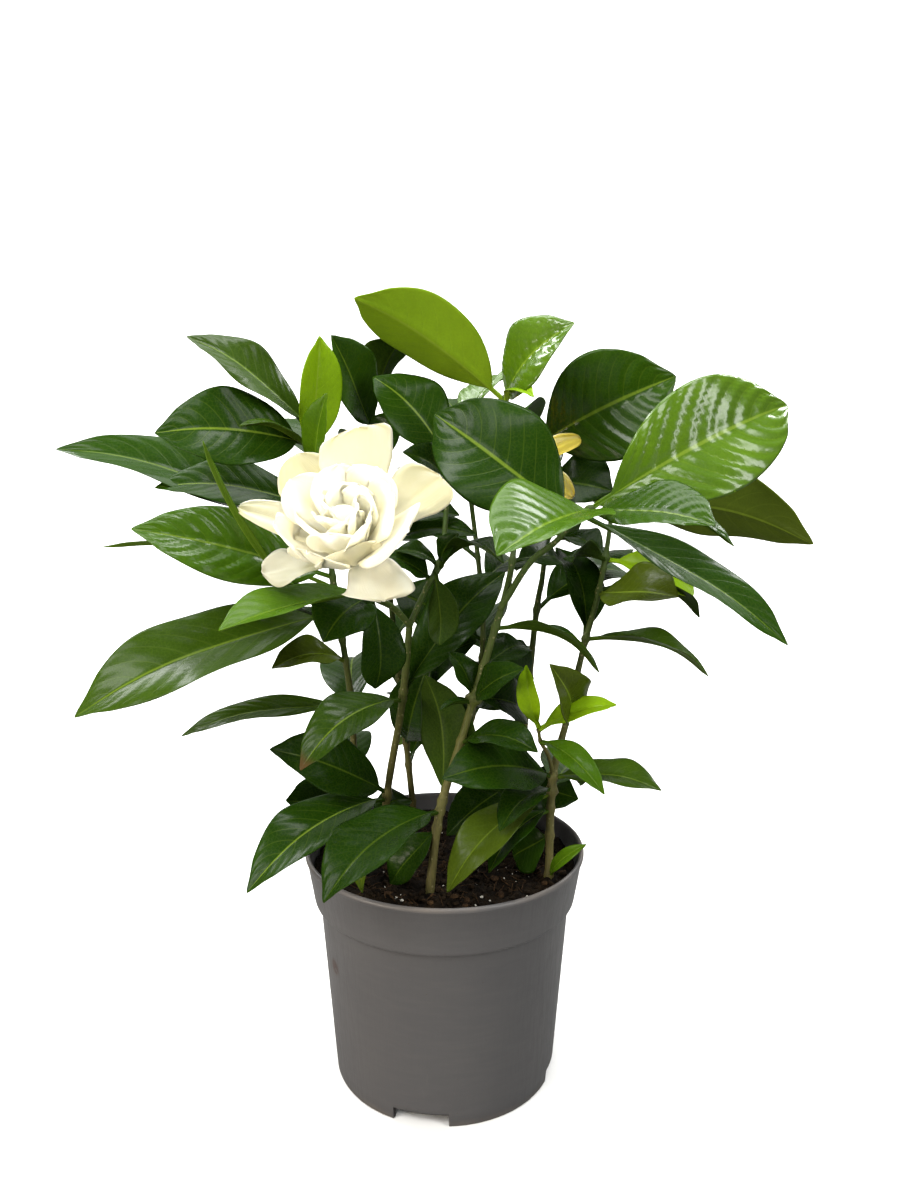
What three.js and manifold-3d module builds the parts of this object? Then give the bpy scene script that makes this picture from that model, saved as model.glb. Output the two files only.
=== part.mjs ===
// A gardenia in a 13 cm nursery pot: the pot, its potting mix, seven leafy stems,
// one open white flower and one faded yellow flower. Millimetres, +Z up.
// The origin is the middle of the pot's foot, and the open flower looks up and toward -Y.
import * as THREE from 'three';
import { mergeVertices } from 'three/addons/utils/BufferGeometryUtils.js';
import Module from 'manifold-3d';

const wasm = await Module();
wasm.setup();

// Pot
const POT_HEIGHT = 109;
const RIM_RADIUS = 65;
const RIM_BOTTOM_RADIUS = 61;
const RIM_BAND = 24;
const BODY_TOP_RADIUS = 58.5;
const FOOT_RADIUS = 52;
const WALL = 1.6;
const FLOOR_UNDERSIDE = 6.2;
const FOOT_NOTCH = { width: 25, height: 6, count: 4, firstAngle: -102 };
const DRAIN_HOLE = { radius: 4, ring: 30, count: 6, sides: 12 };
const POT_SIDES = 32;
const LIP_ROUNDING = 0.6;

// Potting mix
const SEAT_GAP = 0.3;
const SOIL_LEVEL = 100;
const SOIL_SECTORS = 24;
const STEM_HOLE_DEPTH = 12.3;
const SOIL_RINGS = [52, 44, 35, 26, 17, 8];

// Stems and leaves
const STEM_SIDES = 6;
const ROOT_LEVEL = 88;
const BLADE_THICKNESS = 0.85;
const PETIOLE = 0.1;
const PETIOLE_HALF_WIDTH = 0.9;
const BROAD_BLADE = 26;
const BROAD_BLADE_SECTIONS = [0.22, 0.5, 0.78, 1];
const NARROW_BLADE_SECTIONS = [0.3, 0.68, 1];
const BLADE_TIP_HALF_WIDTH = 0.5;
const HEIGHT_STEPS = 400;

// Flowers
const PETAL_THICKNESS = 0.75;
const PETAL_SECTIONS = [0, 0.36, 0.72, 1];
const PETAL_ROOT = 1.2;
const PETAL_CLAW = 0.16;
const ROUND_SIDES = 8;
const FLOWER_TUBE_RADIUS = 2.2;
const CALYX_RADIUS = 3.6;
const CALYX_FOOT_RADIUS = 2;
const CALYX_SINK = 1.5;
const CALYX_LENGTH = 9;

const UP = new THREE.Vector3(0, 0, 1);
const vec = (point) => new THREE.Vector3(...point);
const degrees = THREE.MathUtils.degToRad;

// Each stem is a curve with a radius at its foot and at its tip. A twig names the stem it
// grows from. Each leaf has the height of its node on the stem, its tip, its width, the turn
// of its blade about its own length, the rise of its arch over its length, and its fold.
const STEMS = {
  A: {
    route: [[-30, 12, 100], [-27, 5, 132], [-19, -8, 180], [-16, -15, 208], [-15, -18, 219]],
    radius: [1.9, 1.5],
    leaves: [
      [181, [-60, -45, 161], 26, -20, 0.14, 14],
      [132, [-78, -15, 160], 32, -45, 0.1, 14],
      [129, [-83, -50, 109], 32, -10, 0.12, 16],
      [185, [28, 12, 236], 30, 35, 0.08, 14],
      [106, [-35, -46, 107], 12, 25, 0.12, 14],
    ],
  },
  A_left: {
    from: 'A',
    route: [[-15, -18, 217], [-22, -25, 226], [-28, -34, 231], [-31, -43, 235], [-31, -51, 241]],
    radius: [1.5, 1.2],
    leaves: [
      [233, [-29, -35, 193], 22, 110, 0.12, 14],
      [233, [-47, -62, 219], 28, -25, 0.1, 14],
      [237, [-81, -88, 229], 26, -10, 0.03, 20],
    ],
  },
  A_right: {
    from: 'A',
    route: [[-15, -18, 217], [-8, -12, 232], [-2, -8, 243], [1, 4, 267], [2, 16, 291]],
    radius: [1.4, 1],
    leaves: [
      [286, [-32, 16, 324], 32, -60, 0.1, 14],
      [242, [-21, -14, 249], 12, -35, 0.1, 14],
      [243, [6, -20, 257], 10, 95, 0.1, 14],
      [241, [24, -40, 247], 16, 0, 0.2, 14],
      [236, [-25, -14, 247], 16, -40, 0.1, 14],
      [239, [-2, -32, 211], 16, -150, 0.1, 14],
      [279, [-18, -6, 291], 18, -60, 0.1, 14],
    ],
  },
  B: {
    route: [[-7, -38, 99], [-2, -33, 138], [7, -27, 167], [13, -24, 187], [22, -20, 216],
      [27, -16, 232], [30, -8, 245], [32, 14, 255], [32, 32, 277], [30, 31, 300], [27, 17, 316]],
    radius: [2, 1],
    leaves: [
      [314, [-37, -15, 354], 38, 35, 0.07, 14],
      [313, [54, -15, 344], 34, 80, 0.12, 14],
      [314, [37, -20, 314], 9, 25, 0.1, 15],
      [216, [65, -35, 200], 22, -15, 0.14, 14],
      [138, [-47, -80, 120], 34, -5, 0.12, 16],
      [142, [-8, -20, 195], 28, -15, 0.08, 14],
      [185, [-2, -36, 184], 5, 0, 0.1, 14],
      [188, [23, -32, 196], 5, 50, 0.1, 14],
      [186, [2, -18, 205], 15, -15, 0.1, 14],
      [185, [33, -40, 203], 17, 55, 0.1, 14],
      [199, [36, 0, 204], 21, 20, 0.1, 14],
      [168, [38, -52, 171], 20, 20, 0.12, 14],
      [244, [54, 15, 240], 20, 35, 0.1, 14],
      [186, [37, 6, 169], 22, 60, 0.1, 14],
      [131, [-24, -32, 104], 18, -45, 0.06, 12],
      [300, [48, 84, 302], 27, -20, 0.12, 14],
      [258, [50, 79, 253], 27, -20, 0.12, 14],
    ],
  },
  B_right: {
    from: 'B',
    route: [[24, -19, 224], [37, -20, 245], [47, -24, 254], [55, -28, 264], [62, -30, 269]],
    radius: [1.5, 1.1],
    leaves: [
      [264, [-4, -10, 307], 49, -60, 0.06, 14],
      [268, [18, -104, 258], 46, -15, 0.04, 24],
      [268, [148, -5, 311], 50, 75, 0.08, 14],
      [267, [98, -80, 266], 32, 30, 0.02, 16],
      [266, [138, -50, 215], 28, 25, 0, 14],
    ],
  },
  B_flower: {
    from: 'B',
    route: [[32, 31, 270], [33, 30, 272], [34, 28, 273]],
    radius: [1.2, 1.2],
    leaves: [],
  },
  C: {
    route: [[47, -20, 100], [49, -14, 148], [55, -8, 170], [64, 0, 206], [70, 5, 226],
      [74, 10, 244], [78, 18, 267]],
    radius: [1.9, 1],
    leaves: [
      [265, [169, 10, 249], 40, -60, 0.17, 14],
      [260, [125, -15, 251], 18, 0, 0.12, 14],
      [227, [97, -34, 232], 30, 35, 0.02, 20],
      [242, [122, 35, 223], 24, 60, 0.12, 14],
      [206, [55, 42, 244], 26, 20, 0.1, 14],
      [207, [118, -10, 192], 26, 0, 0.1, 14],
      [175, [43, -45, 206], 22, -115, 0.1, 24],
      [146, [93, -35, 148], 22, 15, 0.08, 14],
      [147, [-1, -50, 159], 30, -40, 0.08, 14],
      [141, [23, -45, 134], 18, 0, 0.12, 14],
      [139, [1, -48, 108], 22, -15, 0.1, 14],
      [132, [19, -40, 113], 16, -5, 0.12, 14],
      [102, [61, -36, 124], 7, 70, 0.1, 14],
      [244, [55, 32, 249], 20, -15, 0.1, 14],
      [242, [54, -22, 245], 14, 35, 0.1, 14],
      [229, [121, 20, 213], 22, 0, 0.14, 14],
      [121, [32, -4, 104], 24, -70, 0.04, 10],
      [262, [103, 72, 265], 28, -30, 0.12, 14],
      [238, [83, 60, 234], 23, 15, 0.12, 14],
      [140, [71, 50, 118], 30, 10, 0.12, 14],
    ],
  },
  C_shoot: {
    from: 'C',
    route: [[49, -14, 147], [46, -18, 158], [42, -22, 166], [41, -24, 172]],
    radius: [1, 0.7],
    leaves: [
      [172, [35, -26, 201], 11, 100, 0.08, 18],
      [172, [74, -28, 184], 14, 30, 0.1, 18],
      [166, [66, -50, 152], 13, 25, 0.18, 18],
    ],
  },
  D: {
    route: [[-45, 30, 103], [-44, 15, 169], [-46, 8, 196], [-49, 0, 225], [-53, 0, 261],
      [-59, 0, 293], [-58, 2, 304]],
    radius: [1.7, 1],
    leaves: [
      [301, [-108, -10, 339], 28, -40, 0.05, 15],
      [294, [-119, -25, 299], 36, -65, 0.1, 12],
      [293, [-83, -30, 302], 8, -15, 0.08, 10],
      [250, [-174, 10, 292], 34, -30, 0.04, 20],
      [265, [-124, -12, 276], 32, -35, 0.06, 12],
      [236, [-126, -40, 261], 34, -60, 0.08, 10],
      [232, [-156, 10, 248], 16, 10, 0.06, 8],
      [221, [-88, -70, 296], 14, -40, -0.1, 10],
      [289, [-52, -12, 339], 24, -60, 0.02, 18],
      [281, [-48, -26, 315], 16, 120, 0.06, 18],
      [105, [-75, 5, 128], 32, -40, 0.04, 14],
      [195, [-76, -15, 197], 20, -30, 0.14, 16],
      [213, [-88, 12, 213], 20, 10, 0.12, 14],
      [219, [-152, -45, 184], 42, -30, 0.05, 14],
      [172, [-120, -5, 163], 16, -25, 0.06, 14],
      [285, [-62, 63, 304], 29, -15, 0.12, 14],
      [250, [-55, 70, 246], 32, -10, 0.12, 14],
      [205, [-52, 73, 211], 29, -10, 0.12, 14],
      [165, [-48, 92, 176], 32, -15, 0.12, 14],
      [130, [-63, 92, 131], 29, 15, 0.12, 14],
    ],
  },
  E: {
    route: [[-15, 42, 97], [-19, 35, 144], [-24, 34, 195], [-30, 38, 259], [-34, 40, 300],
      [-33, 40, 320]],
    radius: [1.7, 1],
    leaves: [
      [300, [-49, 5, 341], 29, -105, 0, 18],
      [316, [-17, 25, 343], 26, -5, 0.1, 15],
      [115, [-35, 15, 116], 14, -30, 0.12, 14],
      [254, [7, 14, 262], 20, 45, 0.1, 14],
      [245, [15, 10, 253], 18, 40, 0.1, 14],
      [146, [-7, 4, 196], 25, 130, 0.1, 14],
      [179, [15, 6, 205], 25, 75, 0.1, 14],
      [224, [3, 30, 209], 25, 50, 0.1, 14],
      [282, [-18, 22, 308], 22, 90, 0.08, 14],
      [290, [-49, 101, 287], 28, 0, 0.12, 14],
      [262, [-71, 100, 267], 34, -10, 0.12, 14],
      [230, [-59, 101, 238], 29, -5, 0.12, 14],
      [200, [7, 99, 197], 34, -5, 0.12, 14],
      [168, [-40, 101, 182], 28, 25, 0.12, 14],
      [135, [2, 95, 148], 27, -10, 0.12, 14],
    ],
  },
  F: {
    route: [[36, 36, 100], [41, 34, 169], [45, 30, 218], [47, 28, 232], [49, 30, 273],
      [42, 34, 296]],
    radius: [1.8, 1],
    leaves: [
      [293, [103, 10, 324], 52, 95, 0.08, 16],
      [126, [1, 10, 108], 25, -35, 0.1, 14],
      [122, [65, 16, 124], 25, 45, 0.1, 14],
      [179, [20, 14, 198], 25, -80, 0.1, 14],
      [278, [77, 14, 273], 34, 50, 0.05, 16],
      [295, [85, 96, 289], 31, 25, 0.12, 14],
      [272, [56, 101, 273], 28, -20, 0.12, 14],
      [246, [69, 99, 240], 31, -15, 0.12, 14],
      [215, [102, 80, 222], 33, 20, 0.12, 14],
      [180, [29, 90, 167], 32, -15, 0.12, 14],
      [145, [36, 88, 102], 27, -25, 0.12, 14],
    ],
  },
  G: {
    route: [[9, 33, 99], [12, 35, 148], [19, 38, 199], [13, 45, 267], [7, 50, 306]],
    radius: [1.7, 1],
    leaves: [
      [138, [46, 10, 131], 25, 45, 0.1, 14],
      [150, [-7, 22, 172], 25, -85, 0.1, 14],
      [173, [37, 16, 173], 25, 45, 0.1, 14],
      [198, [-17, 34, 214], 25, -65, 0.1, 14],
      [300, [47, 101, 329], 32, -15, 0.12, 14],
      [282, [15, 101, 291], 25, -10, 0.12, 14],
      [226, [40, 102, 224], 25, 15, 0.12, 14],
      [190, [24, 100, 199], 33, -20, 0.12, 14],
      [160, [47, 93, 159], 26, -15, 0.12, 14],
      [130, [-26, 84, 129], 27, 5, 0.12, 14],
      [305, [-15, 102, 313], 26, 15, 0.12, 14],
      [270, [-20, 100, 278], 29, -20, 0.12, 14],
      [240, [-25, 92, 241], 26, -5, 0.12, 14],
      [140, [-32, 83, 159], 27, -5, 0.12, 14],
    ],
  },
};

// A closed surface through rings of points, each ring with as many points as the next.
// Quads named in turned are split along their other diagonal.
function closedRings(rings, turned = []) {
  const sides = rings[0].length;
  const positions = rings.flat().flatMap((p) => [p.x, p.y, p.z]);
  const index = [];
  for (let i = 0; i < rings.length - 1; i++) {
    for (let j = 0; j < sides; j++) {
      const a = i * sides + j;
      const b = i * sides + (j + 1) % sides;
      const c = a + sides;
      const d = b + sides;
      if (turned.includes(j)) index.push(a, b, c, b, d, c);
      else index.push(a, b, d, a, d, c);
    }
  }
  const last = (rings.length - 1) * sides;
  for (let j = 1; j < sides - 1; j++) {
    index.push(0, j + 1, j, last, last + j, last + j + 1);
  }
  const geometry = new THREE.BufferGeometry();
  geometry.setAttribute('position', new THREE.Float32BufferAttribute(positions, 3));
  geometry.setIndex(index);
  return solidOf(geometry);
}

// A closed geometry becomes a solid, turned inside out first if its faces point inward.
function solidOf(geometry) {
  geometry.deleteAttribute('normal');
  geometry.deleteAttribute('uv');
  const merged = mergeVertices(geometry, 1e-5);
  const points = merged.attributes.position.array;
  const faces = Array.from(merged.index.array);
  const triangles = [];
  let volume = 0;
  for (let i = 0; i < faces.length; i += 3) {
    const [a, b, c] = faces.slice(i, i + 3);
    if (a === b || b === c || c === a) continue;
    const [p, q, r] = [a, b, c].map((k) => new THREE.Vector3().fromArray(points, 3 * k));
    volume += p.dot(q.cross(r));
    triangles.push([a, b, c]);
  }
  if (volume < 0) triangles.forEach((t) => t.reverse());
  return new wasm.Manifold(new wasm.Mesh({
    numProp: 3,
    vertProperties: new Float32Array(points),
    triVerts: new Uint32Array(triangles.flat()),
  }));
}

function geometryOf(solid) {
  const { vertProperties, triVerts } = solid.getMesh();
  const geometry = new THREE.BufferGeometry();
  geometry.setAttribute('position', new THREE.BufferAttribute(vertProperties, 3));
  geometry.setIndex(new THREE.BufferAttribute(triVerts, 1));
  geometry.computeVertexNormals();
  return geometry;
}

const joined = (solids) => solids.reduce((whole, solid) => whole.add(solid));

// Joined pieces as one body: its outer surface, without any hollow sealed between blades.
function oneBody(solids) {
  const bodies = joined(solids).decompose();
  return bodies.reduce((largest, body) => (body.volume() > largest.volume() ? body : largest));
}

function material(color, roughness) {
  return new THREE.MeshStandardMaterial({ color, roughness, metalness: 0, flatShading: true });
}

function node(name, solid, look) {
  const mesh = new THREE.Mesh(geometryOf(solid), look);
  mesh.name = name;
  return mesh;
}

// A round bar along a curve, its radius going evenly from one end to the other.
function taperedBar(curve, [startRadius, endRadius], sections, sides = STEM_SIDES) {
  const { normals, binormals } = curve.computeFrenetFrames(sections);
  const rings = [];
  for (let i = 0; i <= sections; i++) {
    const centre = curve.getPointAt(i / sections);
    const radius = THREE.MathUtils.lerp(startRadius, endRadius, i / sections);
    rings.push(Array.from({ length: sides }, (_, j) => {
      const angle = 2 * Math.PI * j / sides;
      return centre.clone()
        .addScaledVector(normals[i], radius * Math.cos(angle))
        .addScaledVector(binormals[i], radius * Math.sin(angle));
    }));
  }
  return closedRings(rings);
}

const routeOf = (stem) => new THREE.CatmullRomCurve3(stem.route.map(vec), false, 'centripetal');

// The point of a stem's centre line at a given height.
function pointAtHeight(curve, height) {
  let nearest = curve.getPointAt(0);
  for (let i = 1; i <= HEIGHT_STEPS; i++) {
    const point = curve.getPointAt(i / HEIGHT_STEPS);
    if (Math.abs(point.z - height) < Math.abs(nearest.z - height)) nearest = point;
  }
  return nearest;
}

// The upper face of a leaf looks up, square to its length, or toward the pot's axis where
// the leaf stands nearly upright. The blade is then turned about its length.
function bladeFrame(base, tip, turn) {
  const along = tip.clone().sub(base).normalize();
  const uprightness = Math.max(0, (Math.abs(along.z) - 0.9) / 0.1);
  const inward = new THREE.Vector3(-base.x - tip.x, -base.y - tip.y, 0).normalize();
  const face = UP.clone().lerp(inward, uprightness);
  face.addScaledVector(along, -face.dot(along)).normalize();
  face.applyAxisAngle(along, degrees(turn));
  const side = along.clone().cross(face);
  return { along, face, side };
}

// One thin leaf: a petiole sunk in the stem, and an arched blade folded along its midrib.
function leafSolid(base, tip, width, turn, arch, fold) {
  const { along, face, side } = bladeFrame(base, tip, turn);
  const length = base.distanceTo(tip);
  const half = BLADE_THICKNESS / 2;
  const folded = degrees(fold);
  const section = (t, halfWidth) => {
    const middle = base.clone()
      .addScaledVector(along, length * t)
      .addScaledVector(face, arch * length * 4 * t * (1 - t));
    const corner = (across, level) => middle.clone()
      .addScaledVector(side, across * halfWidth * Math.cos(folded))
      .addScaledVector(face, Math.abs(across) * halfWidth * Math.sin(folded) + level);
    return [[-1, half], [0, half], [1, half], [1, -half], [0, -half], [-1, -half]]
      .map(([across, level]) => corner(across, level));
  };
  const sections = width < BROAD_BLADE ? NARROW_BLADE_SECTIONS : BROAD_BLADE_SECTIONS;
  const blade = sections.map((u) => {
    const halfWidth = width / 2 * Math.sin(Math.PI * u) ** 0.8;
    return section(PETIOLE + (1 - PETIOLE) * u, u < 1 ? halfWidth : BLADE_TIP_HALF_WIDTH);
  });
  return closedRings([section(0, PETIOLE_HALF_WIDTH), ...blade], [3, 4]);
}

function stemBar(stem) {
  const curve = routeOf(stem);
  const solids = [taperedBar(curve, stem.radius, stem.route.length + 1)];
  if (!stem.from) {
    const foot = vec(stem.route[0]);
    const root = foot.clone().setZ(ROOT_LEVEL);
    const line = new THREE.LineCurve3(root, foot.clone().setZ(foot.z + 1));
    solids.push(taperedBar(line, [stem.radius[0], stem.radius[0]], 1));
  }
  return joined(solids);
}

function stemLeaves(stem) {
  const curve = routeOf(stem);
  return stem.leaves.map(([height, tip, width, turn, arch, fold]) => (
    leafSolid(pointAtHeight(curve, height), vec(tip), width, turn, arch, fold)
  ));
}

// One petal of a flower whose axis points from its stalk to its face. The clock angle is seen
// from the face, and the petal opens from one angle off the axis to another along its length.
function petalSolid(flower, [clock, length, width, openAtBase, openAtTip, cup, twist]) {
  const { axis, top, right } = flowerFrame(flower);
  const outward = top.clone().multiplyScalar(Math.cos(degrees(clock)))
    .addScaledVector(right, Math.sin(degrees(clock)));
  const across = outward.clone().cross(axis);
  const start = degrees(openAtBase);
  const bend = degrees(openAtTip - openAtBase);
  const half = PETAL_THICKNESS / 2;
  const rings = PETAL_SECTIONS.map((t) => {
    const open = start + bend * t;
    const middle = vec(flower.seat)
      .addScaledVector(outward, PETAL_ROOT + length * (Math.cos(start) - Math.cos(open)) / bend)
      .addScaledVector(axis, length * (Math.sin(open) - Math.sin(start)) / bend);
    const along = axis.clone().multiplyScalar(Math.cos(open))
      .addScaledVector(outward, Math.sin(open));
    const turn = degrees(twist) * Math.min(1, 2 * t);
    const side = across.clone().applyAxisAngle(along, turn);
    const face = side.clone().cross(along);
    const halfWidth = Math.max(PETAL_CLAW, petalOutline(t)) * width / 2;
    const corner = (position, level) => middle.clone()
      .addScaledVector(side, position * halfWidth)
      .addScaledVector(face, cup * halfWidth * position ** 2 + level);
    return [[-1, half], [0, half], [1, half], [1, -half], [0, -half], [-1, -half]]
      .map(([position, level]) => corner(position, level));
  });
  return closedRings(rings, [3, 4]);
}

// Half width of a petal along its length, as a share of the widest: narrow claw, round end.
const petalOutline = (t) => Math.min(1, 1.25 * t ** 0.75) * Math.sqrt(1 - Math.max(0, t) ** 5);

function flowerFrame(flower) {
  const axis = vec(flower.axis).normalize();
  const top = UP.clone().addScaledVector(axis, -UP.dot(axis)).normalize();
  const right = top.clone().cross(axis);
  return { axis, top, right };
}

// The green calyx ends the twig, and the flower's tube stands in it with a small gap.
function calyxSolid(flower) {
  const foot = vec(flower.foot);
  const along = vec(flower.seat).sub(foot).normalize();
  const outer = new THREE.LineCurve3(
    foot.clone().addScaledVector(along, -CALYX_SINK),
    foot.clone().addScaledVector(along, CALYX_LENGTH),
  );
  const hole = new THREE.LineCurve3(
    foot.clone().addScaledVector(along, CALYX_LENGTH / 2),
    foot.clone().addScaledVector(along, CALYX_LENGTH + 1),
  );
  const clear = FLOWER_TUBE_RADIUS + SEAT_GAP;
  return taperedBar(outer, [CALYX_FOOT_RADIUS, CALYX_RADIUS], 2, ROUND_SIDES)
    .subtract(taperedBar(hole, [clear, clear], 1, ROUND_SIDES));
}

function bloomSolid(flower) {
  const foot = vec(flower.foot);
  const seat = vec(flower.seat);
  const along = seat.clone().sub(foot).normalize();
  const start = foot.clone().addScaledVector(along, CALYX_LENGTH / 2 + SEAT_GAP);
  const end = seat.clone().addScaledVector(along, 2);
  const tube = taperedBar(new THREE.LineCurve3(start, end),
    [FLOWER_TUBE_RADIUS, FLOWER_TUBE_RADIUS], 1, ROUND_SIDES);
  return oneBody([tube, ...flower.petals.map((petal) => petalSolid(flower, petal))]);
}

// Each flower: where its calyx starts, where its petals join, the way it faces, and its
// petals as clock angle, length, width, opening at base and tip, cup and twist.
const FLOWERS = {
  white: {
    foot: [-31, -51, 241],
    seat: [-33, -60, 252],
    axis: [-0.15, -0.62, 0.77],
    petals: [
      [358, 49, 29, 28, 58, 0.06, 10],
      [316, 47, 34, 40, 70, 0.12, 8],
      [53, 44, 28, 42, 82, 0.3, 8],
      [280, 50, 27, 54, 84, 0.3, 8],
      [249, 35, 27, 74, 96, 0.15, 8],
      [147, 34, 29, 60, 94, 0.2, 8],
      [112, 38, 35, 42, 52, 0.2, 6],
      [345, 36, 27, 14, 46, 0.3, 14],
      [32, 36, 27, 16, 48, 0.3, 14],
      [76, 34, 28, 20, 44, 0.3, 14],
      [296, 38, 28, 40, 44, 0.3, 14],
      [258, 35, 30, 74, 24, 0.25, 14],
      [212, 29, 30, 80, 6, 0.25, 14],
      [168, 25, 28, 66, 4, 0.3, 14],
      [10, 30, 20, 4, 36, 0.4, 24],
      [85, 29, 20, 6, 33, 0.4, 24],
      [160, 28, 20, 10, 20, 0.4, 24],
      [232, 29, 20, 14, 22, 0.4, 24],
      [305, 30, 20, 8, 32, 0.4, 24],
      [200, 30, 15, 0, 10, 0.5, 30],
    ],
  },
  faded: {
    foot: [34, 27, 273],
    seat: [35, 15, 282],
    axis: [0.05, -0.8, 0.6],
    petals: [
      [20, 17, 14, 35, 90, 0.3, 10],
      [70, 31, 12, 34, 100, 0.4, 10],
      [131, 30, 12, 36, 119, 0.5, 10],
      [186, 26, 15, 35, 110, 0.4, 10],
      [244, 35, 13, 34, 100, 0.4, 10],
      [303, 29, 15, 36, 86, 0.3, 10],
      [47, 20, 11, 6, 50, 0.5, 20],
      [168, 20, 11, 5, 45, 0.5, 20],
      [287, 20, 11, 7, 48, 0.5, 20],
    ],
  },
};

// Outer radius of the pot's wall at a height.
function bodyRadius(height) {
  const share = height / (POT_HEIGHT - RIM_BAND);
  return THREE.MathUtils.lerp(FOOT_RADIUS, BODY_TOP_RADIUS, share);
}

function potSolid() {
  const bandBottom = POT_HEIGHT - RIM_BAND;
  const floorTop = FLOOR_UNDERSIDE + WALL;
  const profile = [
    [0, FLOOR_UNDERSIDE],
    [bodyRadius(FLOOR_UNDERSIDE) - WALL - 1, FLOOR_UNDERSIDE],
    [FOOT_RADIUS - WALL - 0.6, 0],
    [FOOT_RADIUS, 0],
    [BODY_TOP_RADIUS, bandBottom],
    [RIM_BOTTOM_RADIUS - LIP_ROUNDING, bandBottom + LIP_ROUNDING],
    [RIM_BOTTOM_RADIUS, bandBottom + 1.6],
    [RIM_RADIUS - LIP_ROUNDING, POT_HEIGHT - 2.6],
    [RIM_RADIUS, POT_HEIGHT - 1.6],
    [RIM_RADIUS - 0.5, POT_HEIGHT],
    [RIM_RADIUS - 1.7, POT_HEIGHT],
    [RIM_RADIUS - 2.2, POT_HEIGHT - 1.4],
    [RIM_BOTTOM_RADIUS - WALL, bandBottom + 2.4],
    [BODY_TOP_RADIUS - WALL, bandBottom - 0.6],
    [bodyRadius(floorTop) - WALL - 0.6, floorTop + 1],
    [bodyRadius(floorTop) - WALL - 1.6, floorTop],
    [0, floorTop],
  ].map(([r, z]) => new THREE.Vector2(r, z));
  const wall = new THREE.LatheGeometry(profile, POT_SIDES);
  wall.rotateX(Math.PI / 2);
  let pot = solidOf(wall);
  for (let i = 0; i < FOOT_NOTCH.count; i++) {
    const notch = new THREE.BoxGeometry(14, FOOT_NOTCH.width, 2 * FOOT_NOTCH.height);
    notch.translate(FOOT_RADIUS, 0, 0);
    notch.rotateZ(degrees(FOOT_NOTCH.firstAngle + 360 * i / FOOT_NOTCH.count));
    pot = pot.subtract(solidOf(notch));
  }
  for (let i = 0; i < DRAIN_HOLE.count; i++) {
    const hole = new THREE.CylinderGeometry(DRAIN_HOLE.radius, DRAIN_HOLE.radius, 20,
      DRAIN_HOLE.sides);
    hole.rotateX(Math.PI / 2);
    hole.translate(DRAIN_HOLE.ring, 0, floorTop);
    hole.rotateZ(2 * Math.PI * (i + 0.5) / DRAIN_HOLE.count);
    pot = pot.subtract(solidOf(hole));
  }
  return pot;
}

// Height of the mix: a crumbly top, a little higher toward the front.
function soilHeight(x, y) {
  const crumbs = 0.9 * Math.sin(x / 5.5 + 1) * Math.cos(y / 6.5) + 0.6 * Math.sin((x + y) / 4);
  const mound = 2.5 * Math.exp(-((x + 8) ** 2 + (y + 44) ** 2) / 700);
  return SOIL_LEVEL + crumbs + mound;
}

function soilSolid() {
  const bandBottom = POT_HEIGHT - RIM_BAND;
  const floorTop = FLOOR_UNDERSIDE + WALL;
  const clear = WALL + SEAT_GAP + 0.3;
  const ring = (radius, height) => Array.from({ length: SOIL_SECTORS }, (_, j) => {
    const angle = 2 * Math.PI * j / SOIL_SECTORS;
    const [x, y] = [radius * Math.cos(angle), radius * Math.sin(angle)];
    return new THREE.Vector3(x, y, height ?? soilHeight(x, y));
  });
  const edge = THREE.MathUtils.lerp(RIM_BOTTOM_RADIUS, RIM_RADIUS, 0.5) - clear;
  let soil = closedRings([
    ring(bodyRadius(floorTop) - clear - 1.6, floorTop + SEAT_GAP),
    ring(BODY_TOP_RADIUS - clear, bandBottom - 1),
    ring(RIM_BOTTOM_RADIUS - clear, bandBottom + 3),
    ...[edge, ...SOIL_RINGS].map((radius) => ring(radius)),
  ]);
  for (const stem of Object.values(STEMS).filter((each) => !each.from)) {
    const hole = vec(stem.route[0]);
    const clearRadius = stem.radius[0] + 3 * SEAT_GAP;
    const line = new THREE.LineCurve3(
      hole.clone().setZ(SOIL_LEVEL - STEM_HOLE_DEPTH),
      hole.clone().setZ(SOIL_LEVEL + 8),
    );
    soil = soil.subtract(taperedBar(line, [clearRadius, clearRadius], 1, ROUND_SIDES));
  }
  return soil;
}

const PLASTIC = material('#5f6164', 0.45);
const MIX = material('#3a2a1c', 0.95);
const LEAF = material('#2c5418', 0.35);
const IVORY = material('#f7f0d8', 0.6);
const FADED = material('#e6bd3c', 0.65);

const potted = new THREE.Group();
potted.add(node('pot', potSolid(), PLASTIC));
potted.add(node('soil', soilSolid(), MIX));
for (const letter of 'ABCDEFG') {
  const twigs = Object.entries(STEMS)
    .filter(([name]) => name[0] === letter)
    .map(([, stem]) => stem);
  const pieces = [...twigs.map(stemBar), ...twigs.flatMap(stemLeaves)];
  if (letter === 'A') pieces.push(calyxSolid(FLOWERS.white));
  if (letter === 'B') pieces.push(calyxSolid(FLOWERS.faded));
  potted.add(node(`stem_${letter.toLowerCase()}`, oneBody(pieces), LEAF));
}
potted.add(node('bloom_white', bloomSolid(FLOWERS.white), IVORY));
potted.add(node('bloom_faded', bloomSolid(FLOWERS.faded), FADED));

export default potted;
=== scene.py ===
"""A gardenia in a 13 cm nursery pot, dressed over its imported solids.

Shapes are worked out in millimetres, in the frame of the solids: +Z up, the origin in the
middle of the pot's foot, the open flower looking up and toward -Y. Points become metres in
new_piece(). Lengths in a finish are metres, because it reads Object coordinates.
"""
import math

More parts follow.
